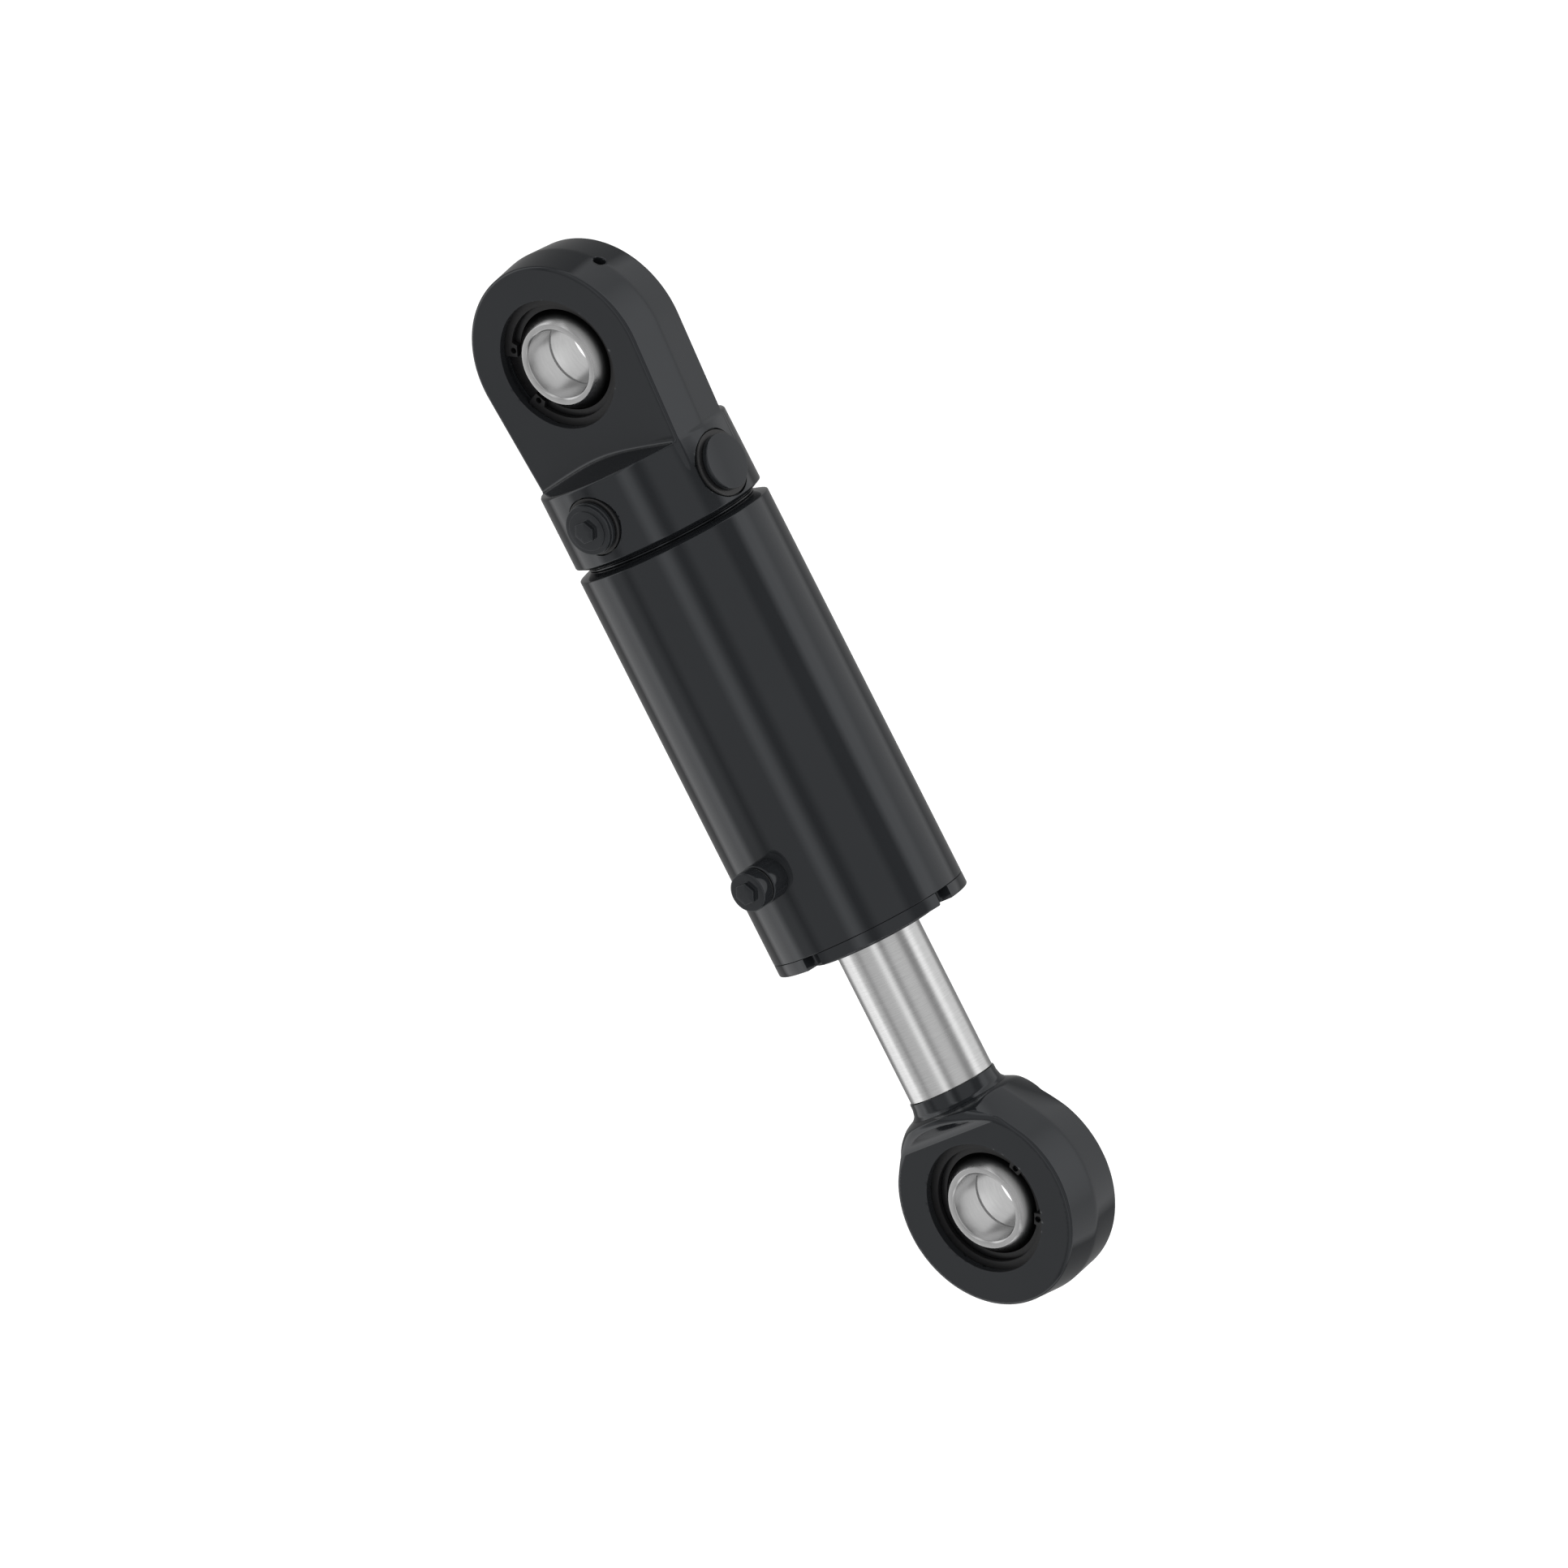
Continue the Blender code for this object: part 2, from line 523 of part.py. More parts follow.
def build_piston_rings(guide, rubber, ptfe, parent):
    inner = PISTON_GROOVE + GAP
    outer = BORE - 0.2
    for side, (start, end) in zip(("rear", "front"), PISTON_RING_GROOVES):
        ring = washer(start + GAP, end - GAP, inner, outer, STEPS)
        place(f"piston_guide_ring_{side}", ring, guide, parent=parent)
    start, end = PISTON_SEAL_GROOVE
    place("piston_seal", washer(start + GAP, end - GAP, 27.0, outer, STEPS), ptfe, parent=parent)
    energiser = cord_ring((start + end) / 2, 25.5, 1.2, STEPS)
    place("piston_seal_energiser", energiser, rubber, parent=parent)


def build():
    clear_scene()
    paint = finish_material("black_paint", (0.030, 0.032, 0.034), 0.35, 0.0)
    chrome = finish_material("rod_chrome", (0.72, 0.72, 0.72), 0.16, 1.0)
    bright = finish_material("bearing_steel", (0.62, 0.62, 0.62), 0.28, 1.0)
    oxide = finish_material("black_oxide", (0.03, 0.03, 0.03), 0.4, 0.0)
    spring = finish_material("circlip_steel", (0.05, 0.05, 0.05), 0.45, 0.8)
    steel = finish_material("machined_steel", (0.50, 0.50, 0.50), 0.35, 1.0)
    rubber = finish_material("seal_rubber", (0.02, 0.02, 0.02), 0.6, 0.0)
    urethane = finish_material("seal_urethane", (0.03, 0.10, 0.25), 0.4, 0.0)
    ptfe = finish_material("seal_ptfe", (0.10, 0.08, 0.06), 0.45, 0.0)
    guide = finish_material("guide_band", (0.35, 0.22, 0.10), 0.6, 0.0)

    ring_group = group("piston_ring_group", (PISTON_BACK + PISTON_FRONT) / 2)
    rod_group = group("rod_group", EYE_CENTRES)
    cap_ball = group("cap_ball_axis")
    rod_ball = group("rod_ball_axis", EYE_CENTRES)

    build_barrel(paint)
    build_cap_end(paint)
    build_gland(paint, rubber, urethane, guide)
    build_ports(paint, rubber)
    build_rod(chrome, steel, paint, rubber, rod_group)
    build_piston_rings(guide, rubber, ptfe, ring_group)
    down, up = math.radians(-90), math.radians(86)
    bearing("cap", 0.0, None, cap_ball, bright, oxide, spring, down)
    bearing("rod", EYE_CENTRES, rod_group, rod_ball, bright, oxide, spring, up)


build()
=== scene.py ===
"""The looks of a short double-acting hydraulic cylinder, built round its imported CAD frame.

Lengths here are in millimetres, as on the drawing, and each mesh is scaled to metres as it is made.
The frame's origin is the cap-end bearing's centre, +X runs to the rod end and +Y along the bores.
"""

import json
import math

import bmesh
import bpy
import numpy as np
from mathutils import Matrix, Vector


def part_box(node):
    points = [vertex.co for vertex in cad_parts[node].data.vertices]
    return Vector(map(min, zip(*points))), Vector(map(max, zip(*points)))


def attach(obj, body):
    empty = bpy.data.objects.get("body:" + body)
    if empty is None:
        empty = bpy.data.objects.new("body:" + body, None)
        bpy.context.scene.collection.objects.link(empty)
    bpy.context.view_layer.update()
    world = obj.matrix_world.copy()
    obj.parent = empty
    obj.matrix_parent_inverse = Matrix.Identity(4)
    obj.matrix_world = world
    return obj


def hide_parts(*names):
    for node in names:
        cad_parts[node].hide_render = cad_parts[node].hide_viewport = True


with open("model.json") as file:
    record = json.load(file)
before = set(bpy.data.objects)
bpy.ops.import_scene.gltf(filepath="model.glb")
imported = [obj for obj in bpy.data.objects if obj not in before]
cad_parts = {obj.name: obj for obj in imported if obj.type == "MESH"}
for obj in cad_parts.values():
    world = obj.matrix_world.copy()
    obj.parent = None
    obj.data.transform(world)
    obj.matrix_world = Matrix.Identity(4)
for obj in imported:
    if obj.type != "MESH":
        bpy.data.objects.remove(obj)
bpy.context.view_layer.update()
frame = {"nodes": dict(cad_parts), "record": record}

MM = 0.001
TURN = math.tau

# ---------------------------------------------------------------- sizes read from the frame


def span(node, axis):
    """A CAD node's lowest and highest coordinate along an axis, in millimetres."""
    low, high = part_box(node)
    return low[axis] / MM, high[axis] / MM


def middle(node, axis):
    low, high = span(node, axis)
    return (low + high) / 2


BARREL_START, BARREL_END = span("barrel_tube", 0)
BARREL_RADIUS = span("barrel_tube", 2)[1]
GLAND_NOSE, GLAND_END = span("gland", 0)
ROD_X = middle("rod_bearing_ball", 0)
RING_HALF_WIDTH = span("cap_bearing_ball", 1)[1]
BALL_RADIUS = span("cap_bearing_ball", 2)[1]
RACE_HALF_WIDTH = span("cap_bearing_race", 1)[1]
RACE_RADIUS = span("cap_bearing_race", 2)[1]
EYE_CREST = span("rod_eye", 2)[1]
CAP_START, CAP_END = span("cap_end", 0)
ROD_START = span("piston_rod", 0)[0]
ROD_RADIUS = span("piston_rod", 2)[1]
ROD_WELD_START, ROD_WELD_END = span("rod_weld", 0)
CAP_PORT_X = middle("cap_port_plug", 0)
SIDE_PORT_X = middle("side_port_plug", 0)
ROD_PORT_X = middle("rod_port_plug", 0)
CAP_PLUG_TOP = -span("cap_port_plug", 1)[0]
SIDE_PLUG_FACE = span("side_port_plug", 2)[1]
ROD_PLUG_TOP = -span("rod_port_plug", 1)[0]

# Sizes inside a node's box, as in the CAD source.
PIN_BORE = 12.5
GAP = 0.3
SEAM = 0.06
HOUSING_BORE = RACE_RADIUS + GAP
EYE_HALF_WIDTH = 14.0
EYE_RADIUS = 35.9
DRAFT = (EYE_CREST - EYE_RADIUS) / EYE_HALF_WIDTH
CAP_FLANK_TAPER = math.radians(4.1)
ROD_FLANK_TAPER = math.radians(34.3)
COLLAR_RADIUS = 35.35
COLLAR_START = 39.7
COLLAR_END = 67.2
SHELF_ANGLE = math.radians(11)
WELD_ROOT = 31.0
BORE = 30.0
THREAD_RADIUS = 32.0
GLAND_RIM = BARREL_END + SEAM
GLAND_RIM_END = GLAND_END - 2.0
GLAND_HUB = 24.0
SLOT_WIDTH = 7.2
SLOT_DEPTH = 5.6
SHOULDER_START = ROD_WELD_END + SEAM
SHOULDER_END = ROD_WELD_END + GAP + 1.6
SHOULDER_RADIUS = 21.6
FLATS_START = 299.4
OIL_HOLE = 2.25
HEX_RADIUS = 4.1
HEX_HEIGHT = 1.75
CAP_SPOT_FACE = 33.6
CAP_SPOT_RADIUS = 10.8
SIDE_SPOT_FACE = 33.3
SIDE_SPOT_RADIUS = 12.35
ROD_BOSS_RADIUS = 7.3
ROD_BOSS_TOP = 43.6
CAP_PORT_BORE = 6.5
CAP_PORT_BOTTOM = 18.0
SIDE_PORT_BORE = 8.5
SIDE_PORT_BOTTOM = 20.0
ROD_PORT_BORE = 4.9
DRILL_RADIUS = 4.0
GALLERY_RADIUS = 6.0
GALLERY_START = 46.5
SPIGOT_START = 60.0
BEVEL_DEPTH = 2.1
BARREL_BEVEL_END = 71.75
THREAD_START = 203.6
THREAD_RELIEF_START = 202.0
PISTON_STEP = 157.3
PISTON_SPIGOT_RADIUS = 12.0
ROD_TENON_RADIUS = 13.0
ROD_TENON_END = 297.0
ROD_SOCKET_RADIUS = 13.3
ROD_SOCKET_END = 297.5
WIPER_SEAT_START = 217.0
WIPER_SEAT_RADIUS = 20.0
CIRCLIP_THICKNESS = 1.75
CIRCLIP_RADIUS = 24.4
CIRCLIP_BORE = 20.9
CIRCLIP_LUG_RADIUS = 18.7
CIRCLIP_GAP_ANGLE = math.radians(22)
CIRCLIP_LUG_ANGLE = math.radians(13)

ALONG_Y = Matrix.Rotation(TURN / 4, 4, "Z")
TOWARD_FRONT = Matrix.Rotation(-TURN / 4, 4, "Z")
UPWARD = Matrix.Rotation(-TURN / 4, 4, "Y")

# ---------------------------------------------------------------- materials


class Nodes:
    """A short way to build a node tree."""

    def __init__(self, tree):
        self.tree = tree

    def add(self, kind, inputs=(), **settings):
        node = self.tree.nodes.new(kind)
        for name, value in settings.items():
            setattr(node, name, value)
        for name, value in dict(inputs).items():
            if isinstance(value, bpy.types.NodeSocket):
                self.tree.links.new(value, node.inputs[name])
            else:
                node.inputs[name].default_value = value
        return node

    def noise(self, scale, detail=4.0, roughness=0.55, stretch=(1, 1, 1)):
        """Noise over the object's own coordinates, in which 1 is a metre."""
        where = self.add("ShaderNodeTexCoord").outputs["Object"]
        mapped = self.add("ShaderNodeMapping", {"Vector": where, "Scale": stretch})
        settings = {"Vector": mapped.outputs[0], "Scale": scale, "Detail": detail,
                    "Roughness": roughness}
        return self.add("ShaderNodeTexNoise", settings).outputs["Fac"]

    def remap(self, value, low, high, new_low, new_high):
        settings = {"Value": value, "From Min": low, "From Max": high, "To Min": new_low,
                    "To Max": new_high}
        return self.add("ShaderNodeMapRange", settings).outputs[0]

    def maths(self, operation, first, second=0.0):
        return self.add("ShaderNodeMath", {0: first, 1: second}, operation=operation).outputs[0]

    def mix(self, factor, first, second):
        mixer = self.add("ShaderNodeMix", {"Factor": factor}, data_type="RGBA")
        for socket, value in (("A_Color", first), ("B_Color", second)):
            target = next(s for s in mixer.inputs if s.identifier == socket)
            if isinstance(value, bpy.types.NodeSocket):
                self.tree.links.new(value, target)
            else:
                target.default_value = value
        return next(s for s in mixer.outputs if s.identifier == "Result_Color")

    def bump(self, height, distance, strength=1.0, below=None):
        inputs = {"Height": height, "Distance": distance, "Strength": strength}
        if below is not None:
            inputs["Normal"] = below
        return self.add("ShaderNodeBump", inputs).outputs[0]


def new_material(name, metallic, ior=1.5):
    material = bpy.data.materials.new(name)
    material.use_nodes = True
    shader = material.node_tree.nodes["Principled BSDF"]
    shader.inputs["Metallic"].default_value = metallic
    shader.inputs["IOR"].default_value = ior
    return material, Nodes(material.node_tree), shader


def grey(value, tint=(1.0, 1.0, 1.0)):
    return (value * tint[0], value * tint[1], value * tint[2], 1.0)


def connect(nodes, shader, name, socket):
    nodes.tree.links.new(socket, shader.inputs[name])


def black_paint():
    """Gloss black enamel: faint orange peel, softer patches, and thin paint on the edges."""
    material, nodes, shader = new_material("black_paint", 0.0, 1.5)
    shader.inputs["Specular Tint"].default_value = (0.93, 0.96, 1.0, 1.0)
    cool = (0.92, 1.0, 1.12)
    cloud = nodes.noise(22.0, 3.0)
    fine = nodes.noise(520.0, 2.0)
    tone = nodes.mix(nodes.remap(cloud, 0.3, 0.7, 0.0, 1.0), grey(0.0225, cool), grey(0.0255, cool))
    edge = nodes.add("ShaderNodeNewGeometry").outputs["Pointiness"]
    worn = nodes.remap(edge, 0.53, 0.62, 0.0, 0.5)
    worn = nodes.maths("MULTIPLY", worn, nodes.remap(fine, 0.4, 0.7, 0.2, 1.0))
    tone = nodes.mix(worn, tone, grey(0.045, cool))
    connect(nodes, shader, "Base Color", tone)
    connect(nodes, shader, "Roughness", nodes.remap(nodes.noise(60.0, 5.0), 0.3, 0.7, 0.045, 0.075))
    peel = nodes.bump(nodes.noise(900.0, 2.0), 0.000004, 0.3)
    connect(nodes, shader, "Normal", nodes.bump(nodes.noise(140.0, 2.0), 0.00001, 0.2, peel))
    return material


def ground_steel(name, value, roughness, streak, scale, tint=(1.0, 1.0, 1.0)):
    """Turned or ground metal, whose fine marks run round the piece's axis."""
    material, nodes, shader = new_material(name, 1.0)
    marks = nodes.noise(scale, 3.0, 0.6, streak)
    patches = nodes.noise(45.0, 3.0)
    low, high = grey(value * 0.94, tint), grey(value * 1.05, tint)
    connect(nodes, shader, "Base Color", nodes.mix(nodes.remap(marks, 0.3, 0.7, 0, 1), low, high))
    rough = nodes.remap(patches, 0.3, 0.7, roughness * 0.9, roughness * 1.12)
    rough = nodes.maths("ADD", rough, nodes.remap(marks, 0.3, 0.7, -0.01, 0.01))
    connect(nodes, shader, "Roughness", rough)
    connect(nodes, shader, "Normal", nodes.bump(marks, 0.0000005, 0.3))
    return material


def bearing_steel():
    """Bright ground steel, with painted shade on the ball: its colour is darkened toward the race,
    where the recess lies in shade.
    """
    material, nodes, shader = new_material("bearing_steel", 1.0)
    # This attribute carries painted shade: it darkens the ball's colour, and roughens it, toward the
    # race.
    painted_race_shade = nodes.add("ShaderNodeAttribute", attribute_name="painted_race_shade").outputs["Fac"]
    marks = nodes.noise(900.0, 3.0, 0.5, (0.25, 1, 0.25))
    tone = nodes.mix(nodes.remap(marks, 0.3, 0.7, 0, 1), grey(0.60), grey(0.64))
    connect(nodes, shader, "Base Color", nodes.mix(painted_race_shade, tone, grey(0.06)))
    rough = nodes.remap(marks, 0.3, 0.7, 0.24, 0.27)
    connect(nodes, shader, "Roughness", nodes.maths("ADD", rough, nodes.remap(painted_race_shade, 0, 1, 0, 0.08)))
    connect(nodes, shader, "Normal", nodes.bump(marks, 0.0000005, 0.1))
    return material


def moulded(name, colour, roughness, grain, depth):
    """A moulded seal, band or plated clip: soft mottling and a fine grain."""
    material, nodes, shader = new_material(name, 0.0)
    speck = nodes.noise(grain, 3.0)
    dark = (*(channel * 0.8 for channel in colour), 1.0)
    light = (*(channel * 1.2 for channel in colour), 1.0)
    connect(nodes, shader, "Base Color", nodes.mix(nodes.remap(speck, 0.3, 0.7, 0, 1), dark, light))
    spread = nodes.remap(nodes.noise(80.0, 3.0), 0.3, 0.7, roughness - 0.06, roughness + 0.06)
    connect(nodes, shader, "Roughness", spread)
    connect(nodes, shader, "Normal", nodes.bump(speck, depth, 0.5))
    return material


def make_materials():
    return {
        "black_paint": black_paint(),
        "rod_chrome": ground_steel("rod_chrome", 0.74, 0.24, (1, 0.05, 0.05), 3000.0),
        "bearing_steel": bearing_steel(),
        "black_oxide": moulded("black_oxide", (0.010, 0.010, 0.011), 0.36, 500.0, 0.000005),
        "circlip_steel": moulded("circlip_steel", (0.009, 0.009, 0.010), 0.46, 700.0, 0.00001),
        "machined_steel": ground_steel("machined_steel", 0.55, 0.34, (1, 0.06, 0.06), 2200.0),
        "seal_rubber": moulded("seal_rubber", (0.018, 0.018, 0.019), 0.3, 900.0, 0.000005),
        "seal_urethane": moulded("seal_urethane", (0.03, 0.10, 0.25), 0.42, 600.0, 0.00001),
        "seal_ptfe": moulded("seal_ptfe", (0.16, 0.12, 0.08), 0.5, 1100.0, 0.00001),
        "guide_band": moulded("guide_band", (0.40, 0.27, 0.13), 0.65, 800.0, 0.00003),
    }


# ---------------------------------------------------------------- mesh makers


def finish_piece(name, mesh, slot, body, nodes, turn=None, x=0.0):
    """Makes an object of a mesh in millimetres, and puts it in the frame."""
    matrix = Matrix.Translation((x * MM, 0, 0))
    if turn is not None:
        matrix = matrix @ turn
    mesh.transform(matrix @ Matrix.Scale(MM, 4))
    mesh.materials.append(MATERIALS[slot])
    piece = bpy.data.objects.new(name, mesh)
    bpy.context.scene.collection.objects.link(piece)
    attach(piece, body)
    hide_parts(*nodes)
    return piece


def mesh_of(name, bm, sharp=28.0):
    bmesh.ops.recalc_face_normals(bm, faces=bm.faces)
    mesh = bpy.data.meshes.new(name)
    bm.to_mesh(mesh)
    bm.free()
    mesh.shade_smooth()
    mesh.set_sharp_from_angle(angle=math.radians(sharp))
    return mesh


def rounded(outline, steps=5):
    """Rounds the corners of a closed (along, radius, fillet) outline with arcs."""
    made = []
    count = len(outline)
    for i, (along, radius, fillet) in enumerate(outline):
        here = Vector((along, radius))
        if fillet <= 0.0:
            made.append((along, radius))
            continue
        back = Vector(outline[i - 1][:2]) - here
        ahead = Vector(outline[(i + 1) % count][:2]) - here
        half = back.angle(ahead) / 2
        reach = min(fillet / math.tan(half), 0.49 * back.length, 0.49 * ahead.length)
        centre = here + (back.normalized() + ahead.normalized()).normalized() * (
            reach / math.cos(half))
        first = here + back.normalized() * reach - centre
        last = here + ahead.normalized() * reach - centre
        sweep = first.angle_signed(last) if first.length > 1e-9 else 0.0
        for step in range(steps + 1):
            turned = Matrix.Rotation(-sweep * step / steps, 2) @ first
            made.append(tuple(centre + turned))
    return made


def hexagon(angle, lean):
    """How far a hexagon with unit corners, slightly rounded, reaches at an angle."""
    part = (angle - lean) % (TURN / 6) - TURN / 12
    return min(math.cos(TURN / 12) / math.cos(part), 0.985)


def lathe(outline, steps=128, shape=None, closed=True):
    """Spins an outline about the local X axis.

    shape(along, radius, angle) may move a point of it at each angle, as for a hexagon or a saddle.
    """
    bm = bmesh.new()
    loops = []
    for along, radius in outline:
        if radius < 1e-6:
            loops.append([bm.verts.new((along, 0.0, 0.0))])
            continue
        loop = []
        for i in range(steps):
            angle = TURN * i / steps
            a, r = shape(along, radius, angle) if shape else (along, radius)
            loop.append(bm.verts.new((a, r * math.cos(angle), r * math.sin(angle))))
        loops.append(loop)
    pairs = list(zip(loops, loops[1:]))
    if closed and len(loops[0]) > 1:
        pairs.append((loops[-1], loops[0]))
    for first, second in pairs:
        for i in range(steps):
            j = (i + 1) % steps
            corners = [first[i % len(first)], first[j % len(first)],
                       second[j % len(second)], second[i % len(second)]]
            corners = list(dict.fromkeys(corners))
            if len(corners) > 2:
                bm.faces.new(corners)
    return bm


def arc(radius, first, last, steps):
    angles = [first + (last - first) * i / steps for i in range(steps + 1)]
    return [(radius * math.cos(a), radius * math.sin(a)) for a in angles]


# ---------------------------------------------------------------- solids from a distance field


def meet(first, second, fillet):
    """The intersection of two solids, with the edge between them rounded."""
    inside = np.minimum(-fillet, np.maximum(first, second))
    return inside + np.hypot(np.maximum(fillet + first, 0.0), np.maximum(fillet + second, 0.0))


def join(first, second, fillet):
    """The union of two solids, with the corner between them filled."""
    return -meet(-first, -second, fillet)


def cut(solid, cutter, fillet=0.0):
    return meet(solid, -cutter, fillet) if fillet else np.maximum(solid, -cutter)


def gradient(field, points, step=0.004):
    made = np.empty_like(points)
    for axis in range(3):
        shift = np.zeros(3)
        shift[axis] = step
        made[:, axis] = field(points + shift) - field(points - shift)
    return made / np.maximum(np.linalg.norm(made, axis=1, keepdims=True), 1e-12)


def crossings(field, points, values, axes, axis):
    """Where the surface crosses the grid's edges along an axis, and which edges those are."""
    low = [slice(None)] * 3
    high = [slice(None)] * 3
    low[axis], high[axis] = slice(None, -1), slice(1, None)
    low_value, high_value = values[tuple(low)], values[tuple(high)]
    index = np.argwhere((low_value < 0) != (high_value < 0))
    start = np.stack([axes[a][index[:, a]] for a in range(3)], axis=1)
    end = start.copy()
    end[:, axis] = axes[axis][index[:, axis] + 1]
    first = low_value[tuple(index.T)]
    last = high_value[tuple(index.T)]
    for _ in range(6):
        part = np.clip(first / (first - last), 0.02, 0.98)[:, None]
        point = start + (end - start) * part
        value = field(point)
        same = (value < 0) == (first < 0)
        start[same], first[same] = point[same], value[same]
        end[~same], last[~same] = point[~same], value[~same]
    part = (first / (first - last))[:, None]
    return index, start + (end - start) * part, values[tuple(index.T)] < 0


def contour(name, field, axes):
    """Wraps the solid where field is negative in quads whose vertices sit on its edges and faces.

    Each cell that the surface passes through gets one vertex, at the point that best fits the
    tangent planes of its crossings, so sharp edges stay sharp.
    """
    grid = np.stack(np.meshgrid(*axes, indexing="ij"), axis=-1).reshape(-1, 3)
    values = np.concatenate([field(part) for part in np.array_split(grid, 12)])
    values = values.reshape([len(a) for a in axes])
    cells = np.array(values.shape) - 1
    total = int(cells.prod())
    stride = np.array([cells[1] * cells[2], cells[2], 1])
    sums = np.zeros((total, 10))
    count = np.zeros(total)
    force = np.zeros((total, 3))
    quads = []
    for axis in range(3):
        index, point, inward = crossings(field, grid, values, axes, axis)
        normal = gradient(field, point)
        offset = (normal * point).sum(axis=1)
        row = np.concatenate([
            point, normal[:, [0]] * normal, normal[:, [1]] * normal[:, 1:],
            normal[:, [2]] ** 2, offset[:, None]], axis=1)
        side, other = [a for a in range(3) if a != axis]
        around = []
        for step, cross in ((0, 0), (1, 0), (1, 1), (0, 1)):
            cell = index.copy()
            cell[:, side] -= 1 - step
            cell[:, other] -= 1 - cross
            flat = cell @ stride
            around.append(flat)
            for column in range(9):
                sums[:, column] += np.bincount(flat, row[:, column], total)
            count += np.bincount(flat, minlength=total)
        quad = np.stack(around, axis=1)
        flip = inward if axis != 1 else ~inward
        quad[~flip] = quad[~flip][:, ::-1]
        quads.append(quad)
        for flat in around:
            for column in range(3):
                force[:, column] += np.bincount(flat, normal[:, column] * offset, total)
    used = np.flatnonzero(count)
    centre = sums[used, :3] / count[used, None]
    matrix = sums[used][:, [3, 4, 5, 4, 6, 7, 5, 7, 8]].reshape(-1, 3, 3)
    pull = force[used] - np.einsum("nij,nj->ni", matrix, centre)
    size, directions = np.linalg.eigh(matrix)
    kept = size > 0.06 * size[:, [2]]
    inverse = np.where(kept, 1.0 / np.maximum(size, 1e-9), 0.0)
    shift = np.einsum("nij,nj,nkj,nk->ni", directions, inverse, directions, pull)
    cell = np.stack(np.unravel_index(used, cells), axis=1)
    low = np.stack([axes[a][cell[:, a]] for a in range(3)], axis=1)
    high = np.stack([axes[a][cell[:, a] + 1] for a in range(3)], axis=1)
    points = np.clip(centre + shift, low, high)
    renumber = np.zeros(total, np.int64)
    renumber[used] = np.arange(len(used))
    faces = renumber[np.concatenate(quads)]
    mesh = bpy.data.meshes.new(name)
    mesh.from_pydata(points.tolist(), [], faces.tolist())
    shade_by_field(mesh, field, points, faces)
    return mesh


def shade_by_field(mesh, field, points, faces):
    """Gives each face corner the field's own normal, taken on the face's side of a sharp edge."""
    mesh.shade_smooth()
    middle_point = points[faces].mean(axis=1)
    at_vertex = gradient(field, points)
    corners = points[faces]
    pulled = corners + (middle_point[:, None] - corners) * 0.3
    at_corner = gradient(field, pulled.reshape(-1, 3)).reshape(corners.shape)
    smooth = at_vertex[faces]
    agree = (smooth * at_corner).sum(axis=2) > math.cos(math.radians(14))
    normals = np.where(agree[:, :, None], smooth, at_corner)
    mesh.normals_split_custom_set(normals.reshape(-1, 3).tolist())


def spaced(*stretches):
    """Grid coordinates through stretches of (start, end, spacing)."""
    made = []
    for start, end, spacing in stretches:
        steps = max(1, round((end - start) / spacing))
        made.append(np.linspace(start, end, steps + 1)[:-1])
    return np.concatenate([*made, [stretches[-1][1]]])


def eye_field(along, y, z, taper):
    """An eye's outline with its double-draft rim; along runs from the bore to the shank."""
    radius = EYE_CREST - 0.05 - DRAFT * (np.hypot(y, 0.6) - 0.6)
    height = np.abs(z)
    start = TURN / 4 - taper
    flank = along * math.sin(taper) + height * math.cos(taper)
    on_flank = np.arctan2(height, along) < start
    return np.where(on_flank, flank, np.hypot(along, height)) - radius


def housing_field(along, y, z):
    """The bearing's housing bore with a groove for each circlip."""
    radius = np.hypot(along, z)
    bore = radius - HOUSING_BORE
    depth = np.abs(y)
    groove = np.maximum(radius - CIRCLIP_RADIUS - 0.35,
                        np.abs(depth - RACE_HALF_WIDTH - 1.175) - 1.125)
    return np.minimum(bore, groove)


def port_field(along, other, out, spot_radius, spot_face, thread, bottom):
    """A drilled port with its spot face, out being the distance from the cylinder's axis."""
    radius = np.hypot(along, other)
    spot = np.maximum(radius - spot_radius, spot_face - out)
    hole = np.maximum(radius - thread, bottom - out)
    drill = np.maximum(radius - DRILL_RADIUS, -out)
    return np.minimum(np.minimum(spot, hole), drill)


def cap_field(points):
    x, y, z = points.T
    out = np.hypot(y, z)
    plate = meet(eye_field(x, y, z, CAP_FLANK_TAPER), np.abs(y) - EYE_HALF_WIDTH, 1.2)
    plate = meet(plate, x - 57.0, 9.0)
    shelf = (COLLAR_START - (COLLAR_RADIUS - out) * math.tan(SHELF_ANGLE) - x)
    collar = meet(out - COLLAR_RADIUS, shelf * math.cos(SHELF_ANGLE), 0.9)
    lean = math.atan2(BEVEL_DEPTH, COLLAR_RADIUS - WELD_ROOT)
    bevel = (x - COLLAR_END) * math.cos(lean) - (COLLAR_RADIUS - out) * math.sin(lean)
    collar = np.maximum(meet(collar, bevel, 0.25), x - COLLAR_END - BEVEL_DEPTH)
    whole = join(plate, collar, 1.1)
    spigot = np.maximum(out - BORE + GAP, np.maximum(SPIGOT_START - x, x - CAP_END))
    whole = np.minimum(whole, spigot)
    whole = np.maximum(whole, -housing_field(x, y, z))
    gallery = np.maximum(out - GALLERY_RADIUS, GALLERY_START - x)
    whole = np.maximum(whole, -gallery)
    front = port_field(x - CAP_PORT_X, z, -y, CAP_SPOT_RADIUS, CAP_SPOT_FACE,
                       CAP_PORT_BORE, CAP_PORT_BOTTOM)
    side = port_field(x - SIDE_PORT_X, y, z, SIDE_SPOT_RADIUS, SIDE_SPOT_FACE,
                      SIDE_PORT_BORE, SIDE_PORT_BOTTOM)
    whole = cut(whole, np.minimum(front, side))
    slanted = (x + z) * math.sqrt(0.5)
    oil = np.maximum(np.hypot(slanted, y) - OIL_HOLE, 10.0 - (z - x) * math.sqrt(0.5))
    return cut(whole, oil, 0.3)


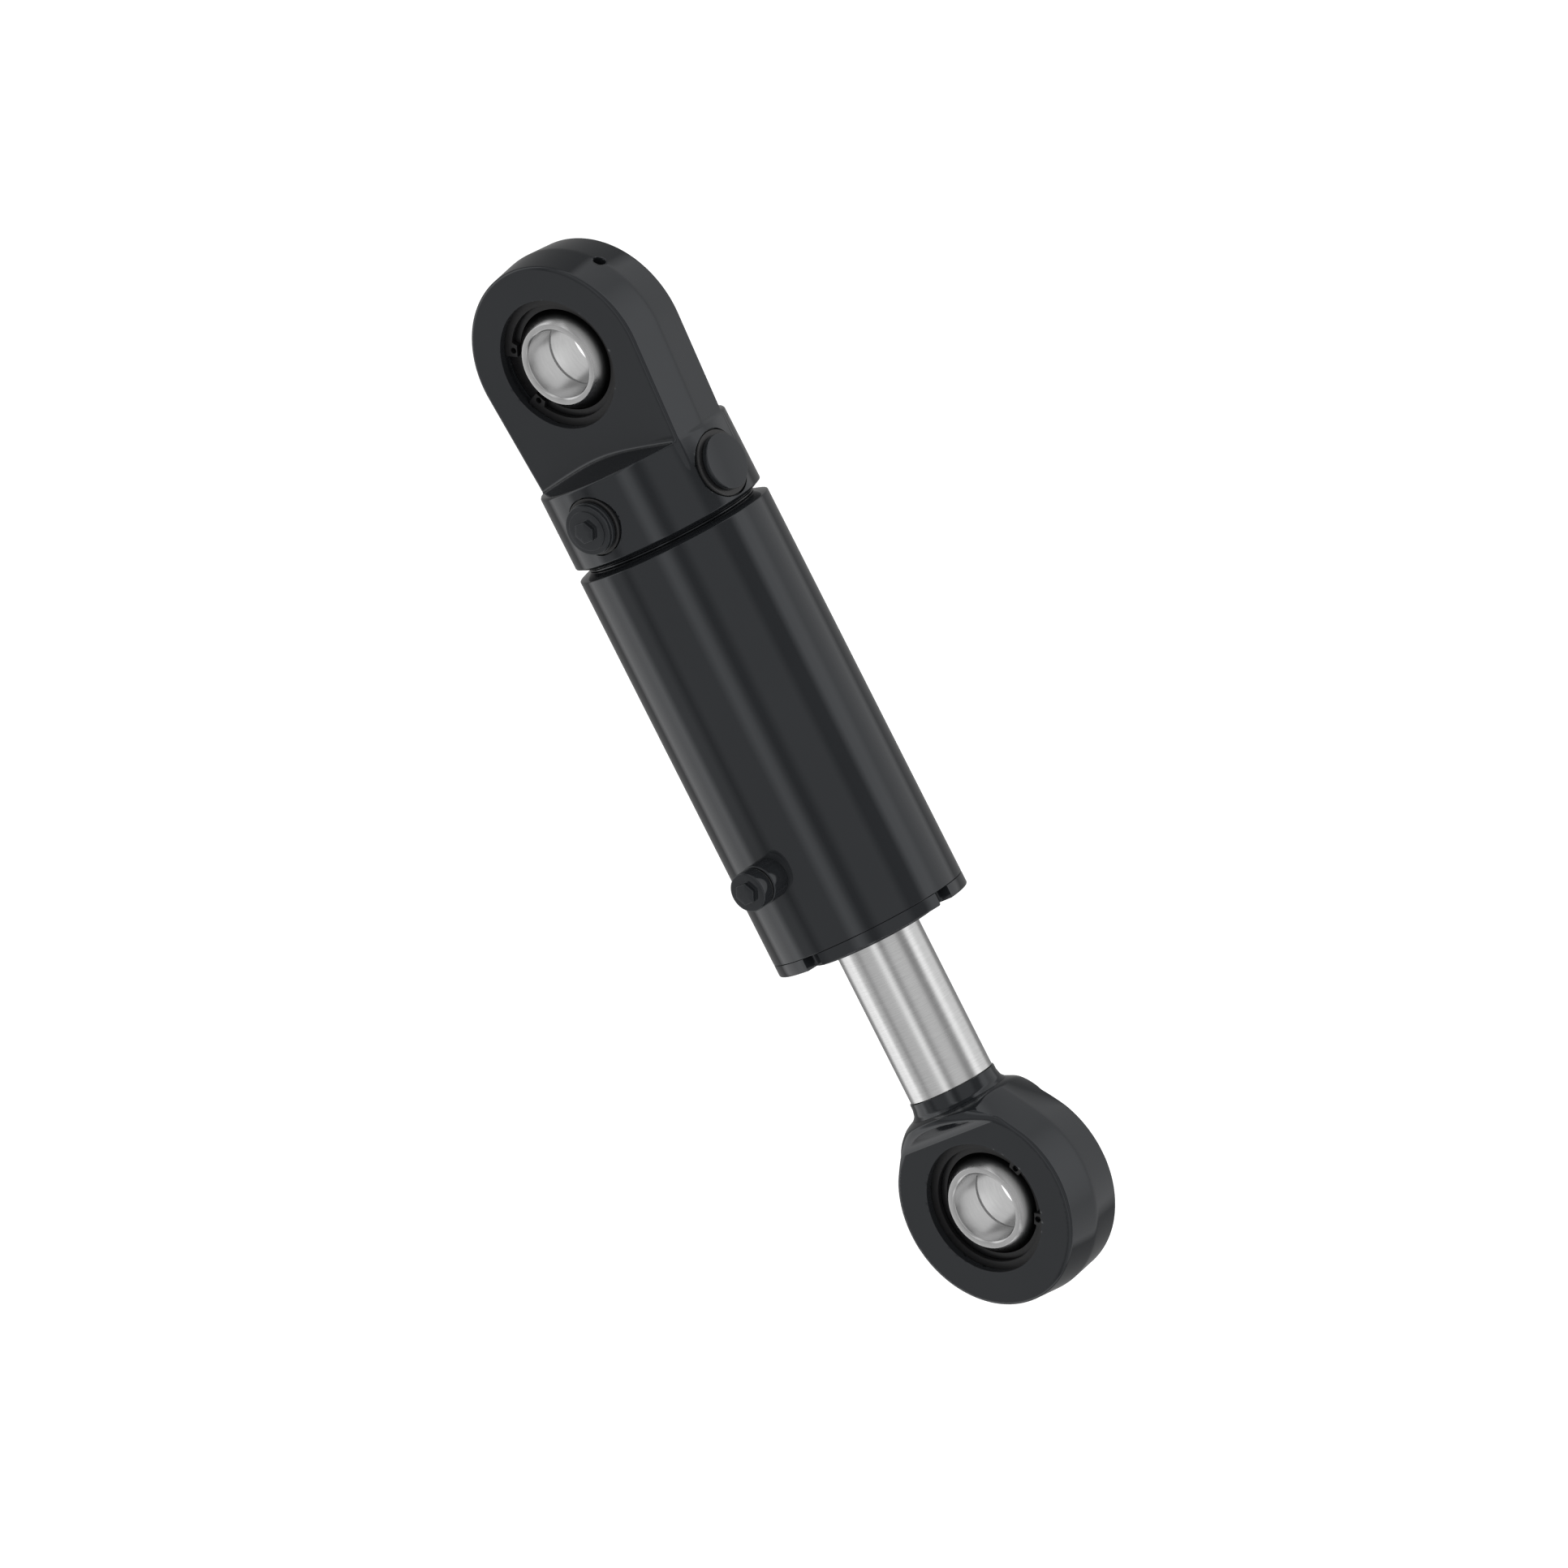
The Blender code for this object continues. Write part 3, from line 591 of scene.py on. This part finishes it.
def rod_eye_field(points):
    x, y, z = points.T
    out = np.hypot(y, z)
    blank = eye_field(ROD_X - x, y, z, ROD_FLANK_TAPER)
    ramp = (SHOULDER_RADIUS - EYE_HALF_WIDTH) / (FLATS_START - SHOULDER_END)
    sloping = EYE_HALF_WIDTH + (FLATS_START - x) * ramp
    blend = 3.0
    thick = (sloping + EYE_HALF_WIDTH + np.hypot(sloping - EYE_HALF_WIDTH, blend)) / 2
    slope = ramp / 2 * (1 + (sloping - EYE_HALF_WIDTH) / np.hypot(sloping - EYE_HALF_WIDTH, blend))
    thick -= blend / 2 * np.exp(-((x - FLATS_START) / 14.0) ** 2)
    sides = (np.abs(y) - np.maximum(thick, EYE_HALF_WIDTH)) / np.hypot(1.0, slope)
    eye = meet(blank, sides, 1.2)
    cone = (out - SHOULDER_RADIUS - (x - SHOULDER_END)) * math.sqrt(0.5)
    eye = meet(eye, cone, 3.0)
    chamfer = math.atan2(SHOULDER_RADIUS - 18.0, SHOULDER_END - SHOULDER_START)
    front = (SHOULDER_END - x) * math.sin(chamfer) + (out - SHOULDER_RADIUS) * math.cos(chamfer)
    eye = meet(eye, front, 0.35)
    eye = np.maximum(eye, SHOULDER_START - x)
    eye = np.maximum(eye, -housing_field(x - ROD_X, y, z))
    socket = np.maximum(out - ROD_SOCKET_RADIUS, x - ROD_SOCKET_END)
    return np.maximum(eye, -socket)


# ---------------------------------------------------------------- pieces


def build_cap_end():
    across = spaced((-20, -15.2, 1.0), (-15.2, -8.6, 0.42), (-8.6, 8.6, 0.6), (8.6, 15.2, 0.42),
                    (15.2, 20, 1.0))
    wide = spaced((-37.2, -32, 0.45), (-32, -20, 0.9))
    y = np.concatenate([wide, across[1:], -wide[-2::-1]])
    x = spaced((CAP_START - 1.3, 32, 0.85), (32, 43, 0.5), (43, 66.4, 0.5), (66.4, 70.6, 0.35),
               (70.6, CAP_END + 1.1, 0.9))
    z = spaced((-38.9, -13, 0.8), (-13, 13, 0.5), (13, 31, 0.8), (31, 36.2, 0.4), (36.2, 38.9, 0.7))
    mesh = contour("cap_end_body", cap_field, (x, y, z))
    finish_piece("cap_end_body", mesh, "black_paint", "barrel", ["cap_end"])
    bead = [(69.45, 31.05, 0), (69.3, 31.35, 0.1), (69.6, 31.45, 0.3), (69.9, 31.35, 0.1),
            (69.8, 31.05, 0)]
    mesh = mesh_of("cap_weld_bead", lathe(rounded(bead), 160))
    finish_piece("cap_weld_bead", mesh, "black_paint", "barrel", ["cap_weld"])


def build_rod_eye():
    half = spaced((0.0, 8.6, 0.9), (8.6, 15.2, 0.45), (15.2, 22.9, 0.7))
    y = np.concatenate([-half[:0:-1], half])
    x = spaced((SHOULDER_START - 1.15, 293, 0.4), (293, 303, 0.6), (303, ROD_X + EYE_CREST + 1.3, 0.85))
    z = spaced((-38.9, 38.9, 0.8))
    mesh = contour("rod_eye_body", rod_eye_field, (x, y, z))
    finish_piece("rod_eye_body", mesh, "black_paint", "rod", ["rod_eye"])


def build_barrel():
    near_port = [(x, BARREL_RADIUS, 0) for x in np.linspace(ROD_PORT_X - 11, ROD_PORT_X + 11, 17)]
    outline = [
        (BARREL_START, BORE, 0), (BARREL_START, WELD_ROOT, 0),
        (BARREL_BEVEL_END, BARREL_RADIUS, 0.5), *near_port, (BARREL_END, BARREL_RADIUS, 0.3),
        (BARREL_END, THREAD_RADIUS, 0.2), (THREAD_START, THREAD_RADIUS, 0),
        (THREAD_RELIEF_START, BORE, 0),
    ]
    mesh = mesh_of("barrel_shell", lathe(rounded(outline), 256))
    finish_piece("barrel_shell", mesh, "black_paint", "barrel", ["barrel_tube"])


def build_rod():
    outline = [
        (ROD_START, 0, 0), (ROD_START, PISTON_SPIGOT_RADIUS, 0.5),
        (PISTON_STEP, PISTON_SPIGOT_RADIUS, 0), (PISTON_STEP, ROD_RADIUS, 0.8),
        (ROD_WELD_START - GAP, ROD_RADIUS, 0), (ROD_WELD_START - GAP, ROD_TENON_RADIUS, 0),
        (ROD_TENON_END, ROD_TENON_RADIUS, 0.4), (ROD_TENON_END, 0, 0),
    ]
    mesh = mesh_of("rod_bar", lathe(rounded(outline), 160, closed=False))
    finish_piece("rod_bar", mesh, "rod_chrome", "rod", ["piston_rod"])
    bead = [
        (ROD_WELD_START, ROD_SOCKET_RADIUS, 0), (ROD_WELD_START, 16.0, 0.15), (286.4, 16.05, 3.0),
        (288.7, 16.6, 2.0), (ROD_WELD_END, 17.8, 0), (ROD_WELD_END, ROD_SOCKET_RADIUS, 0),
    ]
    mesh = mesh_of("rod_weld_bead", lathe(rounded(bead), 160))
    finish_piece("rod_weld_bead", mesh, "black_paint", "rod", ["rod_weld"])


def build_bearing(prefix, x, race_body, ball_body, lug_angle):
    def belt(radius, half_width, steps):
        lean = math.asin(half_width / radius)
        return [(s, c, 0) for c, s in arc(radius, -lean, lean, steps)]

    half = [(RING_HALF_WIDTH, PIN_BORE + 0.6, 0.15), (RING_HALF_WIDTH - 0.6, PIN_BORE, 0.2),
            (0.55, PIN_BORE, 0.1), (0.45, PIN_BORE + 0.6, 0)]
    bore = half + [(-along, radius, fillet) for along, radius, fillet in half[::-1]]
    ball = belt(BALL_RADIUS, RING_HALF_WIDTH, 32)
    ball[0] = (*ball[0][:2], 0.25)
    ball[-1] = (*ball[-1][:2], 0.25)
    mesh = mesh_of(f"{prefix}_ball", lathe(rounded(ball + bore, 4), 144))
    # Painted shade on the ball: the colour darkens with depth from the ring's face toward the race, not
    # on the bore.
    painted_race_shade = mesh.attributes.new("painted_race_shade", "FLOAT", "POINT")
    for vertex, value in zip(mesh.vertices, painted_race_shade.data):
        depth = RING_HALF_WIDTH - abs(vertex.co.x)
        outer = vertex.co.yz.length > PIN_BORE + 1.5
        value.value = min(max((depth - 0.5) / 3.4, 0.0), 1.0) ** 0.7 if outer else 0.0
    finish_piece(f"{prefix}_ball", mesh, "bearing_steel", ball_body, [f"{prefix}_bearing_ball"],
                 ALONG_Y, x)

    seat = HOUSING_BORE - SEAM
    shell = [(RACE_HALF_WIDTH, seat, 0.6), (1.6, seat, 0), (1.1, seat - 0.9, 0)]
    shell += [(-along, radius, fillet) for along, radius, fillet in shell[::-1]]
    race = belt(BALL_RADIUS + GAP, RACE_HALF_WIDTH, 20) + shell
    mesh = mesh_of(f"{prefix}_race", lathe(rounded(race, 4), 144))
    finish_piece(f"{prefix}_race", mesh, "black_oxide", race_body, [f"{prefix}_bearing_race"],
                 ALONG_Y, x)
    for side, low in (("front", -RACE_HALF_WIDTH - GAP - CIRCLIP_THICKNESS),
                      ("rear", RACE_HALF_WIDTH + GAP)):
        name = f"{prefix}_clip_{side}"
        mesh = circlip_mesh(name, low, lug_angle)
        finish_piece(name, mesh, "circlip_steel", race_body, [f"{prefix}_circlip_{side}"], x=x)


def circlip_mesh(name, low, lug_angle):
    """An internal circlip: a sprung arc with a drilled lug at each end."""
    first = lug_angle + CIRCLIP_GAP_ANGLE
    last = lug_angle + TURN - CIRCLIP_GAP_ANGLE
    lug = CIRCLIP_LUG_ANGLE
    outline = arc(CIRCLIP_RADIUS, first, last, 120)
    outline += arc(CIRCLIP_LUG_RADIUS, last, last - lug, 8)
    outline += arc(CIRCLIP_BORE, last - lug * 1.12, first + lug * 1.12, 110)
    outline += arc(CIRCLIP_LUG_RADIUS, first + lug, first, 8)
    bm = bmesh.new()
    edges = []
    loops = [outline]
    reach = (CIRCLIP_LUG_RADIUS + CIRCLIP_BORE) / 2 + 0.4
    for angle in (first + lug / 2, last - lug / 2):
        hole = arc(1.1, 0.0, TURN, 20)[:-1]
        loops.append([(a + reach * math.cos(angle), b + reach * math.sin(angle)) for a, b in hole])
    for loop in loops:
        verts = [bm.verts.new((a, low, b)) for a, b in loop]
        edges += [bm.edges.new((verts[i - 1], verts[i])) for i in range(len(verts))]
    bmesh.ops.triangle_fill(bm, use_beauty=True, use_dissolve=False, edges=edges)
    grown = bmesh.ops.extrude_face_region(bm, geom=bm.faces[:])["geom"]
    moved = [item for item in grown if isinstance(item, bmesh.types.BMVert)]
    bmesh.ops.translate(bm, vec=(0, CIRCLIP_THICKNESS, 0), verts=moved)
    bmesh.ops.dissolve_limit(bm, angle_limit=0.01, verts=bm.verts, edges=bm.edges)
    rims = [e for e in bm.edges if e.is_manifold and e.calc_face_angle() > 1.2]
    bmesh.ops.bevel(bm, geom=rims, offset=0.14, segments=2, affect="EDGES", clamp_overlap=True)
    return mesh_of(name, bm)


def gland_loop(radius, fillet_in):
    """The gland rim's outline at a radius, with four spanner slots, as (angle, radius) points."""
    half = SLOT_WIDTH / 2 + fillet_in
    floor = BARREL_RADIUS - SLOT_DEPTH - fillet_in
    corner = 1.2
    points = []
    for quarter in range(4):
        turn = quarter * TURN / 4
        wall = math.asin(half / radius)
        side = [(radius * math.cos(-wall), -half), (floor + corner, -half)]
        side += [(floor + corner - corner * math.sin(a), -half + corner - corner * math.cos(a))
                 for a in np.linspace(0, TURN / 4, 5)[1:]]
        slot = side + [(a, -b) for a, b in side[::-1]]
        run = [(radius * math.cos(a), radius * math.sin(a))
               for a in np.linspace(wall, TURN / 4 - wall, 46)[1:-1]]
        for a, b in slot + run:
            points.append((a * math.cos(turn) - b * math.sin(turn),
                           a * math.sin(turn) + b * math.cos(turn)))
    return points


def build_gland():
    """The slotted rim is lofted, and the rest of the gland is turned."""
    bore = ROD_RADIUS + 0.4
    levels = [(GLAND_RIM, BARREL_RADIUS - 0.35, 0.0), (GLAND_RIM + 0.1, BARREL_RADIUS - 0.1, 0.0),
              (GLAND_RIM + 0.35, BARREL_RADIUS, 0.0)]
    for a in np.linspace(0, TURN / 4, 6):
        levels.append((GLAND_RIM_END - 0.6 + 0.6 * math.sin(a),
                       BARREL_RADIUS - 0.6 + 0.6 * math.cos(a), 0.3 * (1 - math.cos(a))))
    bm = bmesh.new()
    loops = []
    for x, radius, ease in levels:
        loops.append([bm.verts.new((x, a, b)) for a, b in gland_loop(radius, ease)])
    angles = [math.atan2(v.co.z, v.co.y) for v in loops[-1]]
    front = rounded([(GLAND_RIM_END, 30.0, 0), (GLAND_RIM_END, GLAND_HUB, 0.8),
                     (GLAND_END, GLAND_HUB - 0.6, 0.8), (GLAND_END, WIPER_SEAT_RADIUS, 0.3),
                     (WIPER_SEAT_START, WIPER_SEAT_RADIUS, 0), (WIPER_SEAT_START, bore, 0.2)], 5)[1:]
    inner = [(205, bore), (205, 21), (198, 21), (198, bore), (195, bore), (195, 18.3), (187, 18.3),
             (187, bore), (GLAND_NOSE, bore), (GLAND_NOSE, 26.5), (195, 26.5), (195, 29.7),
             (196.2, 29.7), (196.2, 27), (201, 27), (201, 29.7), (201.7, 29.7), (203.8, 31.7),
             (GLAND_RIM, 31.7)]
    for x, radius in front + inner:
        if radius < 30.2 or x < GLAND_RIM + 0.01:
            loops.append([bm.verts.new((x, radius * math.cos(a), radius * math.sin(a)))
                          for a in angles])
    count = len(angles)
    for first, second in zip(loops, loops[1:]):
        for i in range(count):
            bm.faces.new((first[i - 1], first[i], second[i], second[i - 1]))
    under = BARREL_RADIUS - SLOT_DEPTH
    back = [bm.verts.new((GLAND_RIM, under * math.cos(a), under * math.sin(a))) for a in angles]
    for first, second in ((loops[-1], back), (back, loops[0])):
        for i in range(count):
            bm.faces.new((first[i - 1], first[i], second[i], second[i - 1]))
    mesh = mesh_of("gland_head", bm)
    finish_piece("gland_head", mesh, "black_paint", "barrel", ["gland"])

    lip = ROD_RADIUS + 0.05
    wiper = [(217.3, lip, 0), (217.3, 19.7, 0.3), (226.2, 19.7, 0.3), (226.2, 17.6, 0.4),
             (227.2, 16.2, 0.1), (227.0, lip, 0.05), (225.0, lip + 0.1, 0.3), (223.5, 16.9, 0.5),
             (219.5, 16.9, 0.5), (218.8, lip, 0)]
    mesh = mesh_of("wiper_lip", lathe(rounded(wiper), 128))
    finish_piece("wiper_lip", mesh, "seal_rubber", "barrel", ["rod_wiper"])


def hex_plug(name, node, below, top, x):
    """A front port plug: turned, with a hexagon for the spanner standing on its face."""
    lean = math.radians(30)
    face = top - HEX_HEIGHT
    outline = rounded([*below, (face, HEX_RADIUS, 0.15), (top, HEX_RADIUS, 0.3), (top, 0.0, 0.0)], 5)

    def shape(along, radius, angle):
        part = min(1.0, max(0.0, (along - face + 0.01) / 0.03))
        reach = hexagon(angle, lean) ** part
        return along, radius * (reach if radius < HEX_RADIUS + 0.2 else 1.0)

    mesh = mesh_of(name, lathe(outline, 96, shape, closed=False))
    finish_piece(name, mesh, "black_paint", "barrel", [node], TOWARD_FRONT, x)


def ring_piece(name, node, outline, slot, turn, x, shape=None):
    mesh = mesh_of(name, lathe(rounded(outline), 128, shape))
    finish_piece(name, mesh, slot, "barrel", [node], turn, x)


def build_ports():
    face = CAP_PLUG_TOP - HEX_HEIGHT
    below = [
        (20.5, 0, 0), (20.5, 6.2, 0.6), (face - 4.0, 6.2, 0.1), (face - 4.0, 9.4, 0.25),
        (face - 2.35, 9.4, 0.35), (face - 2.2, 9.0, 0.1), (face - 2.05, 9.1, 0.1),
        (face - 0.6, 9.1, 0.4), (face - 0.6, 7.2, 0.1), (face, 7.2, 0.15),
    ]
    hex_plug("front_plug", "cap_port_plug", below, CAP_PLUG_TOP, CAP_PORT_X)
    ring = [(CAP_SPOT_FACE + GAP, 6.6, 0), (CAP_SPOT_FACE + GAP, 10.4, 0.3),
            (face - 4.3, 10.4, 0.5), (face - 4.3, 6.6, 0)]
    ring_piece("front_plug_ring", "cap_port_seal", ring, "seal_rubber", TOWARD_FRONT, CAP_PORT_X)

    plug = [(22.5, 0, 0), (22.5, 8.2, 0.8), (35.2, 8.2, 0.1), (35.2, 10, 0.2),
            (SIDE_PLUG_FACE, 10, 0.35), (SIDE_PLUG_FACE, 0, 0)]
    finish_piece("side_plug", mesh_of("side_plug", lathe(rounded(plug), 128, closed=False)),
                 "black_paint", "barrel", ["side_port_plug"], UPWARD, SIDE_PORT_X)
    ring = [(SIDE_SPOT_FACE + GAP, 8.6, 0), (SIDE_SPOT_FACE + GAP, 12, 0.3), (34.9, 12, 0.45),
            (34.9, 8.6, 0)]
    ring_piece("side_plug_ring", "side_port_seal", ring, "seal_rubber", UPWARD, SIDE_PORT_X)

    def saddle(along, radius, angle):
        """Angle 0 points along the barrel, so the foot follows the barrel's curve across it."""
        if along > BARREL_RADIUS + 1.0:
            return along, radius
        drop = BARREL_RADIUS - math.sqrt(BARREL_RADIUS**2 - (radius * math.sin(angle)) ** 2)
        return along - drop, radius

    top = ROD_BOSS_TOP
    boss = [(BARREL_RADIUS + 0.1, ROD_PORT_BORE, 0), (BARREL_RADIUS + 0.1, ROD_BOSS_RADIUS, 0),
            (top, ROD_BOSS_RADIUS, 0.5), (top, ROD_PORT_BORE, 0.1)]
    ring_piece("rod_port_collar", "rod_port_boss", boss, "black_paint", TOWARD_FRONT, ROD_PORT_X,
               saddle)
    ring = [(top + 0.3, ROD_PORT_BORE, 0), (top + 0.3, 6.8, 0.15), (top + 0.8, 6.8, 0.15),
            (top + 0.8, ROD_PORT_BORE, 0)]
    ring_piece("rod_plug_ring", "rod_port_seal", ring, "seal_rubber", TOWARD_FRONT, ROD_PORT_X)
    face = ROD_PLUG_TOP - HEX_HEIGHT
    below = [(31.0, 0, 0), (31.0, 4.6, 0.5), (top + 1.1, 4.6, 0.1), (top + 1.1, 7.1, 0.3),
             (face, 7.1, 0.5)]
    hex_plug("rod_end_plug", "rod_port_plug", below, ROD_PLUG_TOP, ROD_PORT_X)


def dress_hidden_nodes():
    """The pieces inside the barrel keep their CAD shape, and get their finish."""
    slots = {row["node"]: row["material_slot"] for row in frame["record"]["subparts"]}
    for name, node in frame["nodes"].items():
        if node.hide_render:
            continue
        node.data.materials.clear()
        node.data.materials.append(MATERIALS[slots[name]])


# ---------------------------------------------------------------- studio


AIM_RIGHT = 0.06994
AIM_DOWN = 0.14913
VIEW_HEIGHT = 0.53816
CAMERA_DISTANCE = 1.2


def camera_frame():
    """The viewing direction: right, up and back of the camera, in the row frame."""
    right = Vector((0.4485, 0.5546, 0.7008)).normalized()
    back = Vector((-0.1093, -0.7442, 0.6589)).normalized()
    up = back.cross(right).normalized()
    return right, up, back


def build_camera():
    right, up, back = camera_frame()
    target = right * AIM_RIGHT - up * AIM_DOWN
    data = bpy.data.cameras.new("camera")
    data.type = "ORTHO"
    data.ortho_scale = VIEW_HEIGHT
    data.clip_end = 10.0
    camera = bpy.data.objects.new("camera", data)
    turn = Matrix((right, up, back)).transposed().to_4x4()
    camera.matrix_world = Matrix.Translation(target + back * CAMERA_DISTANCE) @ turn
    bpy.context.scene.collection.objects.link(camera)
    bpy.context.scene.camera = camera


def build_floor():
    bm = bmesh.new()
    bmesh.ops.create_grid(bm, x_segments=1, y_segments=1, size=4.0)
    mesh = bpy.data.meshes.new("floor")
    bm.to_mesh(mesh)
    bm.free()
    floor = bpy.data.objects.new("floor", mesh)
    floor.location = (0.15, 0, -0.6)
    material = bpy.data.materials.new("pale_floor")
    material.use_nodes = True
    shader = material.node_tree.nodes["Principled BSDF"]
    shader.inputs["Base Color"].default_value = (0.95, 0.95, 0.95, 1)
    shader.inputs["Roughness"].default_value = 0.9
    shader.inputs["Emission Color"].default_value = (1, 1, 1, 1)
    shader.inputs["Emission Strength"].default_value = 0.6
    mesh.materials.append(material)
    floor.visible_glossy = False
    floor.visible_diffuse = False
    bpy.context.scene.collection.objects.link(floor)


def build_world():
    """A studio of long soft boxes that stand round the cylinder, parallel to it.

    A box's angle is taken round the X axis, from the camera's side towards the top right.
    """
    fill = 0.25
    edge = 10
    boxes = {
        "key": (-115, 15, 0.80),
        "under_key": (-90, 10, 0.30),
        "left": (-40, 20, 0.30),
        "left_strip": (-18, 3, 0.60),
        "right": (25, 15, 0.35),
        "top_strip": (80, 5, 0.90),
        "top": (110, 15, 0.50),
    }
    right, up, back = camera_frame()
    toward = Vector((0, back.y, back.z)).normalized()
    across = Vector((1, 0, 0)).cross(toward) * -1
    if across.z < 0:
        across = -across
    world = bpy.data.worlds.new("studio")
    world.use_nodes = True
    bpy.context.scene.world = world
    nodes = Nodes(world.node_tree)
    where = nodes.add("ShaderNodeTexCoord").outputs["Generated"]

    def along(direction):
        product = nodes.add("ShaderNodeVectorMath", {0: where, 1: direction}, operation="DOT_PRODUCT")
        return product.outputs["Value"]

    angle = nodes.maths("ARCTAN2", along(across), along(toward))
    light = fill
    for centre, half_width, brightness in boxes.values():
        away = nodes.maths("ABSOLUTE", nodes.maths("SUBTRACT", angle, math.radians(centre)))
        near, far = math.radians(half_width), math.radians(half_width + edge)
        light = nodes.maths("ADD", nodes.remap(away, near, far, brightness, 0.0), light)
    background = world.node_tree.nodes["Background"]
    background.inputs["Color"].default_value = (1, 1, 1, 1)
    world.node_tree.links.new(light, background.inputs["Strength"])


MATERIALS = make_materials()
build_camera()
build_world()
build_floor()
build_cap_end()
build_rod_eye()
build_barrel()
build_rod()
build_gland()
build_ports()
build_bearing("cap", 0.0, "barrel", "cap_ball", math.radians(-90))
build_bearing("rod", ROD_X, "rod", "rod_ball", math.radians(86))
dress_hidden_nodes()
bpy.context.scene.view_settings.view_transform = "Standard"
